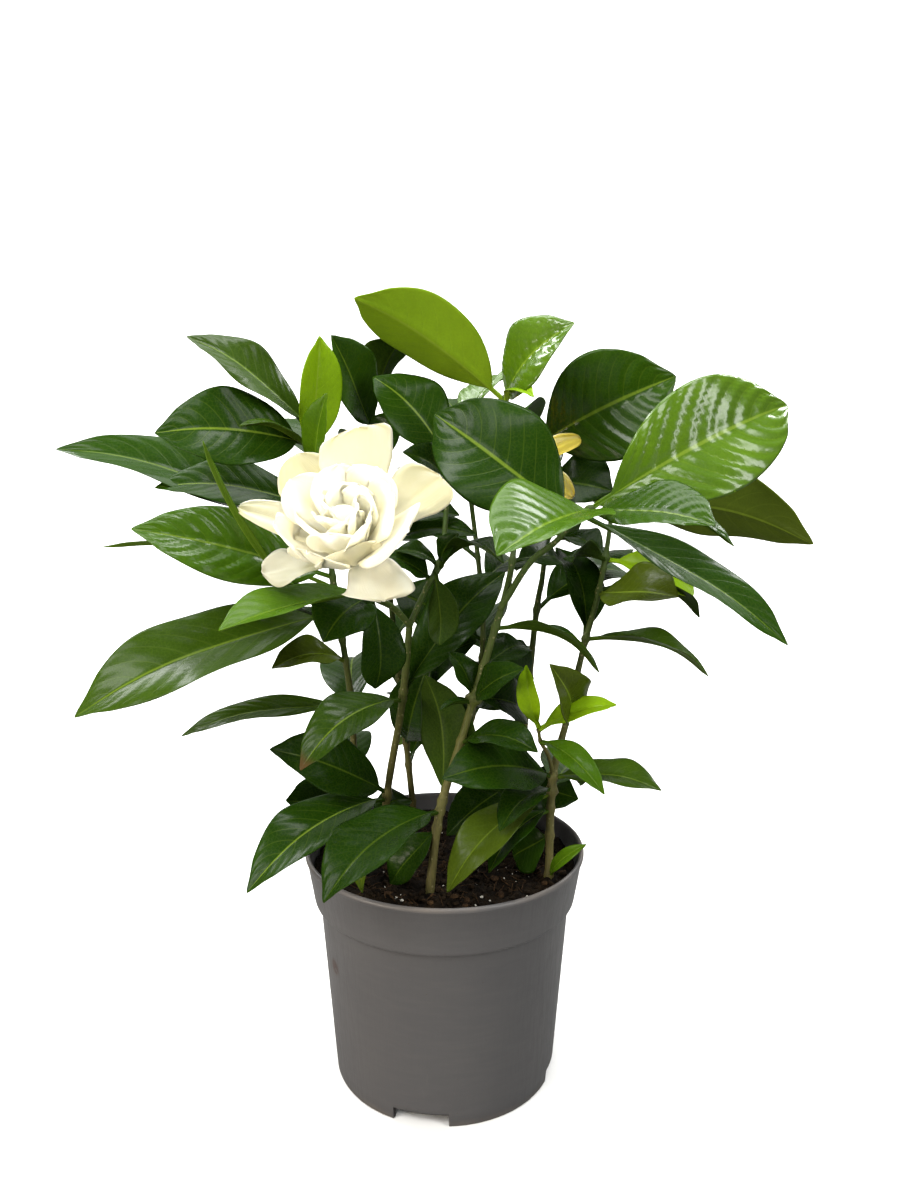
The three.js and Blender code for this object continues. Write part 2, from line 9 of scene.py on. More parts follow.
import bpy
import numpy as np
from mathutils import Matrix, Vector


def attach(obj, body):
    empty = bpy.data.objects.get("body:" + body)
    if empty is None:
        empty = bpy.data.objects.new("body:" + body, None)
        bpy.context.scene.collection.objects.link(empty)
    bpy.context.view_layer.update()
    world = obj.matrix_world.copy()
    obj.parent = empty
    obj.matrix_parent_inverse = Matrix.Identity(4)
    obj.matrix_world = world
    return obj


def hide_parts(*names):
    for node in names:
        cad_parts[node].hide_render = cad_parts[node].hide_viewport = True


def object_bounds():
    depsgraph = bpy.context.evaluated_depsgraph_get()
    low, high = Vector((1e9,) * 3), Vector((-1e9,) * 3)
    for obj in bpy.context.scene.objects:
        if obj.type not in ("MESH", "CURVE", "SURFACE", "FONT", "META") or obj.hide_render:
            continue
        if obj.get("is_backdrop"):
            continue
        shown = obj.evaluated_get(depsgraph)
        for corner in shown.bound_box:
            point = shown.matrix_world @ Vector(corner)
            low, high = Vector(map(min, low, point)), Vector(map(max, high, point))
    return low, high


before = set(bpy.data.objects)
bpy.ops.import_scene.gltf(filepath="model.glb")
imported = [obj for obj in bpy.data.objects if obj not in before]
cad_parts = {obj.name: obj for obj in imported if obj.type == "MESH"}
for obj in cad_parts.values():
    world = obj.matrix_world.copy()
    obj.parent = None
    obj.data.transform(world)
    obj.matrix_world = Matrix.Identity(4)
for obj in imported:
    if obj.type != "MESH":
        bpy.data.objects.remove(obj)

CAD_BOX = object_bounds()
MM = 0.001
UP = np.array([0.0, 0.0, 1.0])

# Pot
POT_HEIGHT = 109
RIM_RADIUS = 65
RIM_BOTTOM_RADIUS = 61
RIM_BAND = 24
BODY_TOP_RADIUS = 58.5
FOOT_RADIUS = 52
WALL = 1.6
FLOOR_UNDERSIDE = 6.2
FOOT_NOTCH = {"width": 25, "height": 6, "count": 4, "first_angle": -102}
DRAIN_HOLE = {"radius": 4, "ring": 30, "count": 6, "sides": 40}
POT_SECTORS = 240
SMEAR_MIDDLE = (-0.0495, -0.0277, 0.0620)

# Potting mix
SEAT_GAP = 0.3
SOIL_LEVEL = 100
SOIL_EDGE = 60.6
CRUMBS = 900
PERLITE = 90
CHIPS = 26
FIBRES = 170
FIBRE_GRID = (7, 5)
GRIT_SEED = 21
MIX_GRID = (96, 300)

# Stems
CANE_ROWS = 150
CANE_SIDES = 14
NODE_SWELL = 0.32
NODE_LENGTH = 1.5
CANE_KNOTS = 41
CANE_SUNK = 11

# Leaves
PETIOLE = 0.1
PETIOLE_HALF_WIDTH = 0.9
BLADE_THICKNESS = 0.45
LARGE_LEAF = 58
LARGE_LEAF_GRID = (78, 21)
SMALL_LEAF_GRID = (48, 15)
VEIN_PAIRS = 9.5
VEIN_LEAN = (0.15, 0.11)

# Flowers
PETAL_ROOT = 1.2
PETAL_THICKNESS = 0.55
PETAL_GRID = (40, 25)
FLOWER_TUBE_RADIUS = 2.2
CALYX_RADIUS = 3.6
CALYX_LENGTH = 9
CALYX_LOBES = 6
CALYX_GRID = (43, 36)
LOBE_GRID = (16, 8)
FLOWER_TUBE_GRID = (24, 24)

# Studio
PLANT_MIDDLE = (0.0, 0.0, 0.23)
WHITE = (1.0, 1.0, 1.0)
AIR_COLOUR = (0.95, 0.97, 1.0, 1)
AIR_STRENGTH = 0.15
SENSOR_WIDTH = 36
LENS = 28.65
CAMERA_PLACE = (0.0, -0.4243, 0.2978)
CAMERA_DEGREES = (80.25, 0.0, -0.34)

# How a leaf looks: tone from the deepest green to a young shoot, share of olive, relief
# between the veins in mm, paleness of the veins, droop of the tip, wave of the margin, how
# far the tip is withered, and gloss.
LOOKS = {
    # The deep look's near-black tone is partly the dark green of old leaves and partly painted
    # shade: it darkens the leaves low down and deep inside the plant, where the foliage shades
    # them.
    "deep_and_shaded": (0.03, 0.0, 0.45, 0.12, 0.04, 0.10, 0.0, 0.05),
    "veined": (0.20, 0.0, 0.60, 0.50, 0.03, 0.08, 0.0, 0.10),
    "ribbed": (0.32, 0.0, 1.50, 0.45, 0.03, 0.06, 0.0, 0.32),
    "mature": (0.24, 0.0, 0.60, 0.32, 0.04, 0.08, 0.0, 0.12),
    "browned": (0.16, 0.1, 0.60, 0.35, 0.04, 0.08, 1.0, 0.10),
    "glossy": (0.60, 0.0, 2.60, 0.55, 0.03, 0.06, 0.0, 0.85),
    "satin": (0.56, 0.0, 1.60, 0.45, 0.03, 0.06, 0.0, 0.28),
    "lush": (0.48, 0.0, 2.00, 0.45, 0.03, 0.06, 0.0, 0.30),
    "fresh": (0.54, 0.0, 0.50, 0.30, 0.02, 0.06, 0.0, 0.08),
    # The bright look's light yellow-green is partly the young leaf's own colour and partly painted
    # light: it stands in for light passing through the thin blade.
    "bright": (0.98, 0.0, 0.45, 0.60, 0.02, 0.05, 0.0, 0.12),
    "shoot": (1.00, 0.0, 0.30, 0.20, 0.02, 0.08, 0.0, 0.10),
    "sheen": (0.30, 0.2, 0.60, 0.35, 0.05, 0.10, 0.0, 0.13),
    "olive": (0.40, 0.7, 0.40, 0.50, 0.04, 0.10, 0.0, 0.10),
    "yellow": (0.40, 0.6, 0.30, 0.26, 0.04, 0.10, 0.0, 0.08),
}

# Each cane by its radius at the foot and at the tip, and the points of its curve in mm. A
# twig carries the letter of its stem before an underscore.
CANES = {
    "A": (1.9, 1.5, [[-30, 12, 100], [-27, 5, 132], [-19, -8, 180], [-16, -15, 208],
        [-15, -18, 219]]),
    "A_left": (1.5, 1.2, [[-15, -18, 217], [-22, -25, 226], [-28, -34, 231], [-31, -43, 235],
        [-31, -51, 241]]),
    "A_right": (1.4, 1, [[-15, -18, 217], [-8, -12, 232], [-2, -8, 243], [1, 4, 267],
        [2, 16, 291]]),
    "B": (2, 1, [[-7, -38, 99], [-2, -33, 138], [7, -27, 167], [13, -24, 187], [22, -20, 216],
        [27, -16, 232], [30, -8, 245], [32, 14, 255], [32, 32, 277], [30, 31, 300],
        [27, 17, 316]]),
    "B_right": (1.5, 1.1, [[24, -19, 224], [37, -20, 245], [47, -24, 254], [55, -28, 264],
        [62, -30, 269]]),
    "B_flower": (1.2, 1.2, [[32, 31, 270], [33, 30, 272], [34, 28, 273]]),
    "C": (1.9, 1, [[47, -20, 100], [49, -14, 148], [55, -8, 170], [64, 0, 206], [70, 5, 226],
        [74, 10, 244], [78, 18, 267]]),
    "C_shoot": (1, 0.7, [[49, -14, 147], [46, -18, 158], [42, -22, 166], [41, -24, 172]]),
    "D": (1.7, 1, [[-45, 30, 103], [-44, 15, 169], [-46, 8, 196], [-49, 0, 225], [-53, 0, 261],
        [-59, 0, 293], [-58, 2, 304]]),
    "E": (1.7, 1, [[-15, 42, 97], [-19, 35, 144], [-24, 34, 195], [-30, 38, 259], [-34, 40, 300],
        [-33, 40, 320]]),
    "F": (1.8, 1, [[36, 36, 100], [41, 34, 169], [45, 30, 218], [47, 28, 232], [49, 30, 273],
        [42, 34, 296]]),
    "G": (1.7, 1, [[9, 33, 99], [12, 35, 148], [19, 38, 199], [13, 45, 267], [7, 50, 306]]),
}

# The leaves of each cane: height of the node and the tip's x, y and z in mm, width, turn of
# the blade about its own length in degrees, rise of its arch as a share of its length, fold in
# degrees, and look.
LEAVES = {
    "A": [
        [181, -60, -45, 161, 26, -20, 0.14, 14, "browned"],
        [132, -78, -15, 160, 32, -45, 0.1, 14, "deep_and_shaded"],
        [129, -83, -50, 109, 32, -10, 0.12, 16, "veined"],
        [185, 28, 12, 236, 30, 35, 0.08, 14, "deep_and_shaded"],
        [106, -35, -46, 107, 12, 25, 0.12, 14, "yellow"],
    ],
    "A_left": [
        [233, -29, -35, 193, 22, 110, 0.12, 14, "deep_and_shaded"],
        [233, -47, -62, 219, 28, -25, 0.1, 14, "deep_and_shaded"],
        [237, -81, -88, 229, 26, -10, 0.03, 20, "fresh"],
    ],
    "A_right": [
        [286, -32, 16, 324, 32, -60, 0.1, 14, "veined"],
        [242, -21, -14, 249, 12, -35, 0.1, 14, "deep_and_shaded"],
        [243, 6, -20, 257, 10, 95, 0.1, 14, "deep_and_shaded"],
        [241, 24, -40, 247, 16, 0, 0.2, 14, "deep_and_shaded"],
        [236, -25, -14, 247, 16, -40, 0.1, 14, "deep_and_shaded"],
        [239, -2, -32, 211, 16, -150, 0.1, 14, "deep_and_shaded"],
        [279, -18, -6, 291, 18, -60, 0.1, 14, "deep_and_shaded"],
    ],
    "B": [
        [314, -37, -15, 354, 38, 35, 0.07, 14, "bright"],
        [313, 54, -15, 344, 34, 80, 0.12, 14, "glossy"],
        [314, 37, -20, 314, 9, 25, 0.1, 15, "bright"],
        [216, 65, -35, 200, 22, -15, 0.14, 14, "mature"],
        [138, -47, -80, 120, 34, -5, 0.12, 16, "deep_and_shaded"],
        [142, -8, -20, 195, 28, -15, 0.08, 14, "deep_and_shaded"],
        [185, -2, -36, 184, 5, 0, 0.1, 14, "deep_and_shaded"],
        [188, 23, -32, 196, 5, 50, 0.1, 14, "deep_and_shaded"],
        [186, 2, -18, 205, 15, -15, 0.1, 14, "deep_and_shaded"],
        [185, 33, -40, 203, 17, 55, 0.1, 14, "deep_and_shaded"],
        [199, 36, 0, 204, 21, 20, 0.1, 14, "deep_and_shaded"],
        [168, 38, -52, 171, 20, 20, 0.12, 14, "deep_and_shaded"],
        [244, 54, 15, 240, 20, 35, 0.1, 14, "deep_and_shaded"],
        [186, 37, 6, 169, 22, 60, 0.1, 14, "deep_and_shaded"],
        [131, -24, -32, 104, 18, -45, 0.06, 12, "deep_and_shaded"],
        [300, 48, 84, 302, 27, -20, 0.12, 14, "mature"],
        [258, 50, 79, 253, 27, -20, 0.12, 14, "deep_and_shaded"],
    ],
    "B_right": [
        [264, -4, -10, 307, 49, -60, 0.06, 14, "veined"],
        [268, 18, -104, 258, 46, -15, 0.04, 24, "satin"],
        [268, 148, -5, 311, 50, 75, 0.08, 14, "glossy"],
        [267, 98, -80, 266, 32, 30, 0.02, 16, "ribbed"],
        [266, 138, -50, 215, 28, 25, 0, 14, "mature"],
    ],
    "C": [
        [265, 169, 10, 249, 40, -60, 0.17, 14, "olive"],
        [260, 125, -15, 251, 18, 0, 0.12, 14, "ribbed"],
        [227, 97, -34, 232, 30, 35, 0.02, 20, "olive"],
        [242, 122, 35, 223, 24, 60, 0.12, 14, "bright"],
        [206, 55, 42, 244, 26, 20, 0.1, 14, "deep_and_shaded"],
        [207, 118, -10, 192, 26, 0, 0.1, 14, "sheen"],
        [175, 43, -45, 206, 22, -115, 0.1, 24, "olive"],
        [146, 93, -35, 148, 22, 15, 0.08, 14, "sheen"],
        [147, -1, -50, 159, 30, -40, 0.08, 14, "deep_and_shaded"],
        [141, 23, -45, 134, 18, 0, 0.12, 14, "deep_and_shaded"],
        [139, 1, -48, 108, 22, -15, 0.1, 14, "yellow"],
        [132, 19, -40, 113, 16, -5, 0.12, 14, "veined"],
        [102, 61, -36, 124, 7, 70, 0.1, 14, "fresh"],
        [244, 55, 32, 249, 20, -15, 0.1, 14, "deep_and_shaded"],
        [242, 54, -22, 245, 14, 35, 0.1, 14, "deep_and_shaded"],
        [229, 121, 20, 213, 22, 0, 0.14, 14, "deep_and_shaded"],
        [121, 32, -4, 104, 24, -70, 0.04, 10, "mature"],
        [262, 103, 72, 265, 28, -30, 0.12, 14, "glossy"],
        [238, 83, 60, 234, 23, 15, 0.12, 14, "veined"],
        [140, 71, 50, 118, 30, 10, 0.12, 14, "mature"],
    ],
    "C_shoot": [
        [172, 35, -26, 201, 11, 100, 0.08, 18, "shoot"],
        [172, 74, -28, 184, 14, 30, 0.1, 18, "shoot"],
        [166, 66, -50, 152, 13, 25, 0.18, 18, "fresh"],
    ],
    "D": [
        [301, -108, -10, 339, 28, -40, 0.05, 15, "sheen"],
        [294, -119, -25, 299, 36, -65, 0.1, 12, "veined"],
        [293, -83, -30, 302, 8, -15, 0.08, 10, "sheen"],
        [250, -174, 10, 292, 34, -30, 0.04, 20, "mature"],
        [265, -124, -12, 276, 32, -35, 0.06, 12, "veined"],
        [236, -126, -40, 261, 34, -60, 0.08, 10, "lush"],
        [232, -156, 10, 248, 16, 10, 0.06, 8, "fresh"],
        [221, -88, -70, 296, 14, -40, -0.1, 10, "fresh"],
        [289, -52, -12, 339, 24, -60, 0.02, 18, "bright"],
        [281, -48, -26, 315, 16, 120, 0.06, 18, "fresh"],
        [105, -75, 5, 128, 32, -40, 0.04, 14, "deep_and_shaded"],
        [195, -76, -15, 197, 20, -30, 0.14, 16, "olive"],
        [213, -88, 12, 213, 20, 10, 0.12, 14, "deep_and_shaded"],
        [219, -152, -45, 184, 42, -30, 0.05, 14, "sheen"],
        [172, -120, -5, 163, 16, -25, 0.06, 14, "sheen"],
        [285, -62, 63, 304, 29, -15, 0.12, 14, "mature"],
        [250, -55, 70, 246, 32, -10, 0.12, 14, "deep_and_shaded"],
        [205, -52, 73, 211, 29, -10, 0.12, 14, "glossy"],
        [165, -48, 92, 176, 32, -15, 0.12, 14, "veined"],
        [130, -63, 92, 131, 29, 15, 0.12, 14, "mature"],
    ],
    "E": [
        [300, -49, 5, 341, 29, -105, 0, 18, "mature"],
        [316, -17, 25, 343, 26, -5, 0.1, 15, "deep_and_shaded"],
        [115, -35, 15, 116, 14, -30, 0.12, 14, "deep_and_shaded"],
        [254, 7, 14, 262, 20, 45, 0.1, 14, "deep_and_shaded"],
        [245, 15, 10, 253, 18, 40, 0.1, 14, "deep_and_shaded"],
        [146, -7, 4, 196, 25, 130, 0.1, 14, "deep_and_shaded"],
        [179, 15, 6, 205, 25, 75, 0.1, 14, "deep_and_shaded"],
        [224, 3, 30, 209, 25, 50, 0.1, 14, "deep_and_shaded"],
        [282, -18, 22, 308, 22, 90, 0.08, 14, "mature"],
        [290, -49, 101, 287, 28, 0, 0.12, 14, "mature"],
        [262, -71, 100, 267, 34, -10, 0.12, 14, "deep_and_shaded"],
        [230, -59, 101, 238, 29, -5, 0.12, 14, "glossy"],
        [200, 7, 99, 197, 34, -5, 0.12, 14, "veined"],
        [168, -40, 101, 182, 28, 25, 0.12, 14, "mature"],
        [135, 2, 95, 148, 27, -10, 0.12, 14, "mature"],
    ],
    "F": [
        [293, 103, 10, 324, 52, 95, 0.08, 16, "ribbed"],
        [126, 1, 10, 108, 25, -35, 0.1, 14, "deep_and_shaded"],
        [122, 65, 16, 124, 25, 45, 0.1, 14, "deep_and_shaded"],
        [179, 20, 14, 198, 25, -80, 0.1, 14, "deep_and_shaded"],
        [278, 77, 14, 273, 34, 50, 0.05, 16, "deep_and_shaded"],
        [295, 85, 96, 289, 31, 25, 0.12, 14, "deep_and_shaded"],
        [272, 56, 101, 273, 28, -20, 0.12, 14, "glossy"],
        [246, 69, 99, 240, 31, -15, 0.12, 14, "veined"],
        [215, 102, 80, 222, 33, 20, 0.12, 14, "mature"],
        [180, 29, 90, 167, 32, -15, 0.12, 14, "mature"],
        [145, 36, 88, 102, 27, -25, 0.12, 14, "deep_and_shaded"],
    ],
    "G": [
        [138, 46, 10, 131, 25, 45, 0.1, 14, "deep_and_shaded"],
        [150, -7, 22, 172, 25, -85, 0.1, 14, "deep_and_shaded"],
        [173, 37, 16, 173, 25, 45, 0.1, 14, "deep_and_shaded"],
        [198, -17, 34, 214, 25, -65, 0.1, 14, "deep_and_shaded"],
        [300, 47, 101, 329, 32, -15, 0.12, 14, "glossy"],
        [282, 15, 101, 291, 25, -10, 0.12, 14, "veined"],
        [226, 40, 102, 224, 25, 15, 0.12, 14, "mature"],
        [190, 24, 100, 199, 33, -20, 0.12, 14, "mature"],
        [160, 47, 93, 159, 26, -15, 0.12, 14, "deep_and_shaded"],
        [130, -26, 84, 129, 27, 5, 0.12, 14, "glossy"],
        [305, -15, 102, 313, 26, 15, 0.12, 14, "veined"],
        [270, -20, 100, 278, 29, -20, 0.12, 14, "mature"],
        [240, -25, 92, 241, 26, -5, 0.12, 14, "mature"],
        [140, -32, 83, 159, 27, -5, 0.12, 14, "deep_and_shaded"],
    ],
}

# Each petal: clock angle, length, width, opening at base and tip, cup, twist, and its finish:
# how square its end is, how much its margin waves, its share of cream, and how much farther
# its clockwise side reaches.
WHITE_PETALS = [
    [358, 49, 28, 28, 58, 0.06, 10, 3.0, 0.05, 1.0, 0.1],
    [316, 47, 34, 40, 70, 0.12, 8, -0.15, 0.05, 1.0, 0],
    [53, 44, 28, 42, 82, 0.3, 8, 1.2, 0.12, 0.9, 0.08],
    [280, 50, 27, 54, 84, 0.3, 8, -0.35, 0.12, 0.7, 0],
    [250, 36, 21, 74, 96, 0.15, 8, 0.9, 0.2, 0.35, 0.08],
    [147, 33, 25, 60, 94, 0.2, 8, 1.6, 0.3, 0.45, -0.2],
    [112, 38, 35, 42, 52, 0.2, 6, 0.6, 0.06, 0.25, 0],
    [345, 36, 27, 14, 46, 0.3, 14, 0.3, 0.08, 0.15, 0],
    [32, 36, 27, 16, 48, 0.3, 14, 0.4, 0.08, 0.2, 0],
    [76, 34, 28, 20, 44, 0.3, 14, 0.4, 0.08, 0.15, 0],
    [296, 38, 28, 40, 44, 0.3, 14, 0.3, 0.08, 0.2, 0],
    [258, 35, 30, 74, 24, 0.25, 14, 0.3, 0.08, 0.15, 0],
    [212, 29, 30, 80, 6, 0.25, 14, 0.3, 0.08, 0.25, 0],
    [168, 25, 28, 66, 4, 0.3, 14, 0.3, 0.08, 0.25, 0],
    [10, 30, 20, 4, 36, 0.4, 24, 0.2, 0.06, 0.05, 0],
    [85, 29, 20, 6, 33, 0.4, 24, 0.2, 0.06, 0.1, 0],
    [160, 28, 20, 10, 20, 0.4, 24, 0.2, 0.06, 0.05, 0],
    [232, 29, 20, 14, 22, 0.4, 24, 0.2, 0.06, 0.1, 0],
    [305, 30, 20, 8, 32, 0.4, 24, 0.2, 0.06, 0.05, 0],
    [200, 30, 15, 0, 10, 0.5, 30, 0, 0.04, 0.15, 0],
    [130, 30, 22, 30, 22, 0.35, 16, 0.3, 0.1, 0.05, 0],
    [190, 30, 22, 44, 8, 0.35, 16, 0.3, 0.1, 0.05, 0],
    [245, 31, 23, 40, 22, 0.35, 16, 0.3, 0.1, 0.05, 0],
    [350, 31, 20, 6, 26, 0.4, 20, 0.3, 0.1, 0.0, 0],
    [50, 31, 20, 8, 26, 0.4, 20, 0.3, 0.1, 0.0, 0],
    [105, 30, 18, 8, 14, 0.45, 26, 0.2, 0.1, 0.0, 0],
    [270, 31, 18, 10, 14, 0.45, 26, 0.2, 0.1, 0.0, 0],
]
FADED_PETALS = [
    [20, 17, 14, 35, 90, 0.3, 10, 0.0, 0.25, 0.6, 0],
    [70, 31, 12, 34, 100, 0.4, 10, 0.0, 0.3, 0.5, 0],
    [131, 30, 12, 36, 119, 0.5, 10, 0.0, 0.3, 0.5, 0],
    [186, 26, 15, 35, 110, 0.4, 10, 0.0, 0.3, 0.6, 0],
    [244, 35, 13, 34, 100, 0.4, 10, 0.0, 0.3, 0.6, 0],
    [303, 29, 15, 36, 86, 0.3, 10, 0.0, 0.25, 0.8, 0],
    [47, 20, 11, 6, 50, 0.5, 20, 0.0, 0.2, 0.9, 0],
    [168, 20, 11, 5, 45, 0.5, 20, 0.0, 0.2, 0.9, 0],
    [287, 20, 11, 7, 48, 0.5, 20, 0.0, 0.2, 0.9, 0],
]
FLOWERS = {
    "white": {"foot": [-31, -51, 241], "seat": [-33, -60, 252], "axis": [-0.15, -0.62, 0.77],
              "petals": WHITE_PETALS},
    "faded": {"foot": [34, 27, 273], "seat": [35, 15, 282], "axis": [0.05, -0.8, 0.6],
              "petals": FADED_PETALS},
}


def unit(vectors):
    return vectors / np.linalg.norm(vectors, axis=-1, keepdims=True)


def ease(x, low, high):
    """Rises from 0 at low to 1 at high with flat ends: 3s^2 - 2s^3."""
    share = np.clip((x - low) / (high - low), 0, 1)
    return share * share * (3 - 2 * share)


def about(vectors, axis, angle):
    """Turns vectors about a unit axis: v cos + (axis x v) sin + axis (axis.v)(1 - cos)."""
    cos, sin = np.cos(angle), np.sin(angle)
    along = np.sum(vectors * axis, axis=-1, keepdims=True)
    return vectors * cos + np.cross(axis, vectors) * sin + axis * along * (1 - cos)


def circle(count):
    return np.linspace(0, 2 * np.pi, count, endpoint=False)


def value_noise(x, y, spacing, seed):
    """Smooth bumps from -1 to 1: random heights at lattice points, eased between them."""
    lattice = np.random.RandomState(seed).uniform(-1, 1, (64, 64))
    gx, gy = x / spacing + 1000, y / spacing + 1000
    ix, iy = np.floor(gx).astype(int), np.floor(gy).astype(int)
    fx, fy = ease(gx - ix, 0, 1), ease(gy - iy, 0, 1)
    corner = lambda dx, dy: lattice[(ix + dx) % 64, (iy + dy) % 64]
    low = corner(0, 0) * (1 - fx) + corner(1, 0) * fx
    high = corner(0, 1) * (1 - fx) + corner(1, 1) * fx
    return low * (1 - fy) + high * fy


def new_piece(name, points, quads, triangles, finishes, faces=None, uv=None, state=None,
              gloss=None):
    """One mesh piece from points in mm, four- and three-cornered faces as rows of indices,
    a finish number per face, and a uv pair, a state of four numbers and a gloss per point."""
    mesh = bpy.data.meshes.new(name)
    quads = np.asarray(quads, np.int32).reshape(-1, 4)
    triangles = np.asarray(triangles, np.int32).reshape(-1, 3)
    corners = np.concatenate([quads.ravel(), triangles.ravel()])
    starts = np.concatenate([
        np.arange(len(quads)) * 4,
        len(quads) * 4 + np.arange(len(triangles)) * 3,
    ])
    points = np.asarray(points, np.float32).reshape(-1, 3) * MM
    mesh.vertices.add(len(points))
    mesh.vertices.foreach_set("co", points.ravel())
    mesh.loops.add(len(corners))
    mesh.loops.foreach_set("vertex_index", corners)
    mesh.polygons.add(len(starts))
    mesh.polygons.foreach_set("loop_start", starts.astype(np.int32))
    if faces is not None:
        mesh.polygons.foreach_set("material_index", np.asarray(faces, np.int32))
    mesh.update(calc_edges=True)
    mesh.polygons.foreach_set("use_smooth", np.ones(len(starts), bool))
    if uv is not None:
        layer = mesh.uv_layers.new(name="surface")
        layer.data.foreach_set("uv", np.asarray(uv, np.float32).reshape(-1, 2)[corners].ravel())
    for title, kind, field, values in (("state", "FLOAT_COLOR", "color", state),
                                       ("gloss", "FLOAT", "value", gloss)):
        if values is not None:
            layer = mesh.attributes.new(title, kind, "POINT")
            layer.data.foreach_set(field, np.asarray(values, np.float32).ravel())
    for finish in finishes:
        mesh.materials.append(finish)
    piece = bpy.data.objects.new(name, mesh)
    bpy.context.scene.collection.objects.link(piece)
    return piece


def ring_quads(rows, sides):
    """Four-cornered faces between rows rings of points, each ring closed on itself."""
    i, j = np.meshgrid(np.arange(rows - 1), np.arange(sides), indexing="ij")
    after = (j + 1) % sides
    return np.stack([i * sides + j, i * sides + after, (i + 1) * sides + after,
                     (i + 1) * sides + j], -1).reshape(-1, 4)


def sheet_faces(count, rows, columns):
    """Faces of count closed two-skinned sheets whose points run row by row, each row across
    the upper skin and back across the lower one. Also says which faces are on the lower."""
    ring = 2 * (columns - 1)
    sides = ring_quads(rows, ring)
    lower = np.tile(np.arange(ring) >= columns - 1, rows - 1).astype(np.int32)
    near = np.arange(1, columns - 2)
    far_row = (rows - 1) * ring
    back = ring - near
    root = np.stack([near, back, back - 1, near + 1], -1)
    tip = np.stack([near, near + 1, back - 1, back], -1) + far_row
    ends = np.array([[0, ring - 1, 1], [columns - 2, columns, columns - 1]])
    tip_ends = ends[:, ::-1] + far_row
    quads = np.concatenate([sides, root, tip])
    triangles = np.concatenate([ends, tip_ends])
    shift = (np.arange(count) * rows * ring)[:, None, None]
    finish = np.concatenate([
        np.tile(np.concatenate([lower, np.zeros(len(root) + len(tip), np.int32)]), count),
        np.zeros(count * len(triangles), np.int32),
    ])
    return (quads[None] + shift).reshape(-1, 4), (triangles[None] + shift).reshape(-1, 3), finish


def two_skins(upper, lower):
    """Joins upper and lower skins (count, rows, columns, ...) into rings, sharing margins."""
    return np.concatenate([upper, lower[:, :, -2:0:-1]], axis=2)


def grid_normals(skin):
    """Unit normals of grids (count, rows, columns, 3): step across times step along."""
    return unit(np.cross(np.gradient(skin, axis=2), np.gradient(skin, axis=1)))


def curve_through(points, rows):
    """Centripetal Catmull-Rom curve through the points, at rows even steps of its spans:
    each span blends its four neighbours, spaced by the square root of their distances."""
    given = np.array(points, float)
    first = 2 * given[0] - given[1]
    last = 2 * given[-1] - given[-2]
    all_points = np.vstack([first, given, last])
    spans = len(given) - 1
    place = np.linspace(0, spans, rows)
    span = np.minimum(place.astype(int), spans - 1)
    p = [all_points[span + k] for k in range(4)]
    gap = [np.linalg.norm(p[k + 1] - p[k], axis=1, keepdims=True) ** 0.5 for k in range(3)]
    t0 = np.zeros_like(gap[0])
    t1 = gap[0]
    t2 = t1 + gap[1]
    t3 = t2 + gap[2]
    t = t1 + (place - span)[:, None] * (t2 - t1)
    mix = lambda a, b, start, end: ((end - t) * a + (t - start) * b) / (end - start)
    a1, a2, a3 = mix(p[0], p[1], t0, t1), mix(p[1], p[2], t1, t2), mix(p[2], p[3], t2, t3)
    b1, b2 = mix(a1, a2, t0, t2), mix(a2, a3, t1, t3)
    return mix(b1, b2, t1, t2)


def ring_faces(rows, sides, inward=False):
    """Faces of a body of rows rings: four-cornered between them, and a fan at each end to a
    pole. The poles are the two points after the rings. Inward turns every face round."""
    quads = ring_quads(rows, sides)
    spoke = np.arange(sides)
    turned, last = (spoke + 1) % sides, (rows - 1) * sides
    poles = [np.full(sides, rows * sides + k) for k in (0, 1)]
    fans = np.vstack([np.stack([poles[0], turned, spoke], -1),
                      np.stack([poles[1], spoke + last, turned + last], -1)])
    return (quads[:, ::-1], fans[:, ::-1]) if inward else (quads, fans)


def tube(path, radius, sides, flutes=0.0):
    """Points and faces of a closed tube: circles of the given radii square to the path,
    with poles at both ends. Flutes adds a lengthwise ripple as a share of the radius."""
    along = unit(np.gradient(path, axis=0))
    away = np.eye(3)[np.argmin(np.abs(along).mean(axis=0))]
    side = unit(np.cross(along, away))
    angle = circle(sides)
    ripple = 1 + flutes * np.sin(3 * angle + 1) * np.sin(5 * angle)
    spread = np.asarray(radius)[:, None, None] * ripple[None, :, None]
    rings = path[:, None] + spread * about(side[:, None], along[:, None], angle[:, None])
    return (np.vstack([rings.reshape(-1, 3), path[:1], path[-1:]]),
            *ring_faces(len(path), sides))


def gathered(parts):
    """Several (points, quads, triangles) as one, with the indices moved along."""
    points, quads, triangles, start = [], [], [], 0
    for some_points, some_quads, some_triangles in parts:
        points.append(some_points)
        quads.append(np.asarray(some_quads).reshape(-1, 4) + start)
        triangles.append(np.asarray(some_triangles).reshape(-1, 3) + start)
        start += len(some_points)
    return np.vstack(points), np.vstack(quads), np.vstack(triangles)


# Finishes

